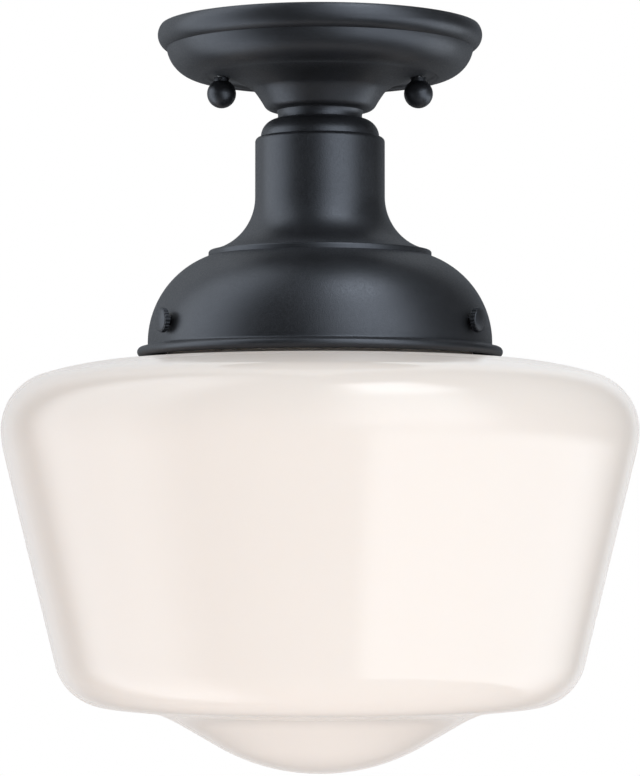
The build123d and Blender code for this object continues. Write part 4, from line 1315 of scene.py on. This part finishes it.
# ---------------------------------------------------------------- stage
def aimed(name, data, azimuth, elevation, distance):
    """Object that looks at the light's middle from an azimuth, 0 in front, and an elevation, in degrees."""
    low, high = CAD_BOX
    target = (low + high) / 2
    across, up = math.radians(azimuth), math.radians(elevation)
    back = Vector((math.sin(across) * math.cos(up), -math.cos(across) * math.cos(up), math.sin(up)))
    thing = bpy.data.objects.new(name, data)
    thing.location = target + back * distance
    thing.rotation_euler = (-back).to_track_quat("-Z", "Y").to_euler()
    bpy.context.scene.collection.objects.link(thing)
    return thing


def softbox(name, azimuth, elevation, distance, size, radiance, tint):
    """Soft light of a size, as bright as a white wall times its radiance, that no gloss mirrors."""
    lamp = bpy.data.lights.new(name, "AREA")
    lamp.shape = "RECTANGLE"
    lamp.size, lamp.size_y = size
    lamp.energy = radiance * math.pi * size[0] * size[1]
    lamp.color = tint
    light = aimed(name, lamp, azimuth, elevation, distance)
    light.visible_camera = False
    light.visible_glossy = False


def band(tree, value, limits):
    """1 between the two inner limits, given in degrees, and softly down to 0 at the outer ones."""
    start, full, ebb, end = (math.radians(limit) for limit in limits)
    rise = put(tree, "ShaderNodeMapRange", {"Value": value, "From Min": start, "From Max": full},
               interpolation_type="SMOOTHSTEP")
    fall = put(tree, "ShaderNodeMapRange", {"Value": value, "From Min": ebb, "From Max": end, "To Min": 1.0,
                                            "To Max": 0.0}, interpolation_type="SMOOTHSTEP")
    return figure(tree, "MULTIPLY", rise.outputs["Result"], fall.outputs["Result"])


# Azimuth and elevation in degrees, distance and size in metres, brightness and tint.
SOFTBOXES = {
    "key": (36, 30, 1.6, (1.7, 1.7), 0.66, (0.78, 0.92, 1.0)),
    "bounce": (0, -58, 1.5, (1.6, 1.6), 1.0, (1.0, 0.96, 0.94)),
}
# What polished surfaces mirror: limits across, limits in height, in degrees as band() takes them, and
# brightness. Across runs from 0 in front to 180 behind, positive to the right.
MIRRORED = {
    "window in front": ((-8, 28, 44, 78), (-12, 2, 66, 76), 2.9),
    "low window on the right": ((12, 24, 105, 150), (-39, -34, -14, -2), 2.2),
    "strip of light above": ((10, 26, 60, 85), (44, 54, 66, 76), 2.8),
    "window on the left": ((-130, -106, -78, -44), (-85, -55, 60, 85), 2.1),
    "wall behind, left": ((-181, -180, -150, -125), (-30, -8, 90, 91), 0.8),
    "wall behind, right": ((142, 162, 180, 181), (-30, -8, 90, 91), 0.9),
}


class MakeStage(bpy.types.Operator):
    """Set up the camera, the soft lights, the surroundings and the pale floor"""
    bl_idname = "ceiling_light.stage"
    bl_label = "Stage"

    def execute(self, context):
        self.camera(context)
        self.floor(context)
        self.surroundings(context)
        for name, setting in SOFTBOXES.items():
            softbox(name, *setting)
        context.scene.view_settings.view_transform = "Standard"
        return {"FINISHED"}

    def camera(self, context):
        """Long lens from slightly under the light's middle."""
        size = settings().studio
        lens = bpy.data.cameras.new("camera")
        lens.lens = size.lens
        lens.sensor_fit = "HORIZONTAL"
        camera = bpy.data.objects.new("camera", lens)
        camera.location = (0, -size.camera_distance, -size.camera_drop)
        camera.rotation_euler = (math.radians(90) + size.camera_pitch, 0, 0)
        context.scene.collection.objects.link(camera)
        context.scene.camera = camera

    def floor(self, context):
        """Pale floor far below the light; away from it the floor fades into the white surroundings."""
        size = settings().studio
        shape = bmesh.new()
        bmesh.ops.create_grid(shape, x_segments=1, y_segments=1, size=size.floor_reach)
        mesh = bpy.data.meshes.new("floor")
        shape.to_mesh(mesh)
        shape.free()
        mesh.transform(Matrix.Translation((0, 0, -size.floor_drop)))
        material, tree, shader, place = blank("floor paint")
        clouded(tree, shader, place, size.floor, scale=4.0, dark=0.98, light=1.02)
        shader.inputs["Roughness"].default_value = 0.8
        far = put(tree, "ShaderNodeMapRange", {
            "Value": from_axis(tree, place), "From Min": size.fade_start, "From Max": size.fade_end},
                  interpolation_type="SMOOTHSTEP").outputs["Result"]
        white = put(tree, "ShaderNodeEmission", {"Color": (1, 1, 1, 1), "Strength": 1.0})
        faded = put(tree, "ShaderNodeMixShader", {
            0: figure(tree, "MULTIPLY", far, put(tree, "ShaderNodeLightPath").outputs["Is Camera Ray"]),
            1: shader.outputs["BSDF"], 2: white.outputs["Emission"]})
        tree.links.new(faded.outputs["Shader"], tree.nodes["Material Output"].inputs["Surface"])
        mesh.materials.append(material)
        floor = bpy.data.objects.new("floor", mesh)
        context.scene.collection.objects.link(floor)
        floor.visible_glossy = False

    def surroundings(self, context):
        """White seen directly, a dim room with soft windows in reflections, and an even light elsewhere."""
        size = settings().studio
        world = bpy.data.worlds.new("studio")
        context.scene.world = world
        world.use_nodes = True
        tree = world.node_tree
        tree.nodes.clear()
        direction = put(tree, "ShaderNodeTexCoord").outputs["Generated"]
        parts = put(tree, "ShaderNodeSeparateXYZ", {"Vector": direction}).outputs
        across = figure(tree, "ARCTAN2", parts["X"], figure(tree, "MULTIPLY", parts["Y"], -1.0))
        height = figure(tree, "ARCSINE", parts["Z"], 0.0)
        room = size.dim_room
        for sideways, upright, brightness in MIRRORED.values():
            patch = figure(tree, "MULTIPLY", band(tree, across, sideways), band(tree, height, upright))
            room = figure(tree, "ADD", room, figure(tree, "MULTIPLY", patch, brightness))
        even = put(tree, "ShaderNodeBackground", {"Color": (1, 1, 1, 1), "Strength": size.ambient})
        seen = put(tree, "ShaderNodeBackground", {"Color": (1, 1, 1, 1), "Strength": 1.0})
        mirrored = put(tree, "ShaderNodeBackground", {"Color": (*size.window, 1.0), "Strength": room})
        ray = put(tree, "ShaderNodeLightPath").outputs
        direct = figure(tree, "MAXIMUM", ray["Is Camera Ray"], ray["Is Transmission Ray"])
        glossy = put(tree, "ShaderNodeMixShader",
                     {0: ray["Is Glossy Ray"], 1: even.outputs[0], 2: mirrored.outputs[0]})
        shown = put(tree, "ShaderNodeMixShader", {0: direct, 1: glossy.outputs[0], 2: seen.outputs[0]})
        put(tree, "ShaderNodeOutputWorld", {"Surface": shown.outputs[0]})


# ---------------------------------------------------------------- panel and registration
PIECE_OPERATORS = (
    MakeCanopy, MakeBallNuts, MakeCollarAndCap, MakeColumn, MakeDome, MakeThumbscrews, MakeGlobe,
    MakeStraps, MakeStuds, MakeNipple, MakeSocket, MakeLamp, MakeWiring, MakeStage)


class CeilingLightPanel(bpy.types.Panel):
    """Steps that make the ceiling light"""
    bl_idname = "VIEW3D_PT_ceiling_light"
    bl_label = "Ceiling light"
    bl_space_type = "VIEW_3D"
    bl_region_type = "UI"
    bl_category = "Ceiling light"

    def draw(self, context):
        column = self.layout.column()
        for operator in PIECE_OPERATORS:
            column.operator(operator.bl_idname)
        for group in ("canopy", "stack", "dome", "globe", "fasteners", "lamp", "colours", "studio"):
            box = self.layout.box()
            box.label(text=group.capitalize())
            sizes = getattr(context.scene.ceiling_light, group)
            for name in sizes.__annotations__:
                box.prop(sizes, name)


CLASSES = (CanopySizes, StackSizes, DomeSizes, GlobeSizes, FastenerSizes, LampSizes, FinishColours,
           StudioSettings, CeilingLightSettings, *PIECE_OPERATORS, CeilingLightPanel)


def register():
    """Make the classes and the settings known."""
    for kind in CLASSES:
        bpy.utils.register_class(kind)
    bpy.types.Scene.ceiling_light = bpy.props.PointerProperty(type=CeilingLightSettings)


def unregister():
    """Take the classes and the settings away again."""
    del bpy.types.Scene.ceiling_light
    for kind in reversed(CLASSES):
        bpy.utils.unregister_class(kind)


def main():
    """Make every piece and the stage."""
    register()
    for operator in PIECE_OPERATORS:
        group, name = operator.bl_idname.split(".")
        getattr(getattr(bpy.ops, group), name)()


if __name__ == "__main__":
    main()
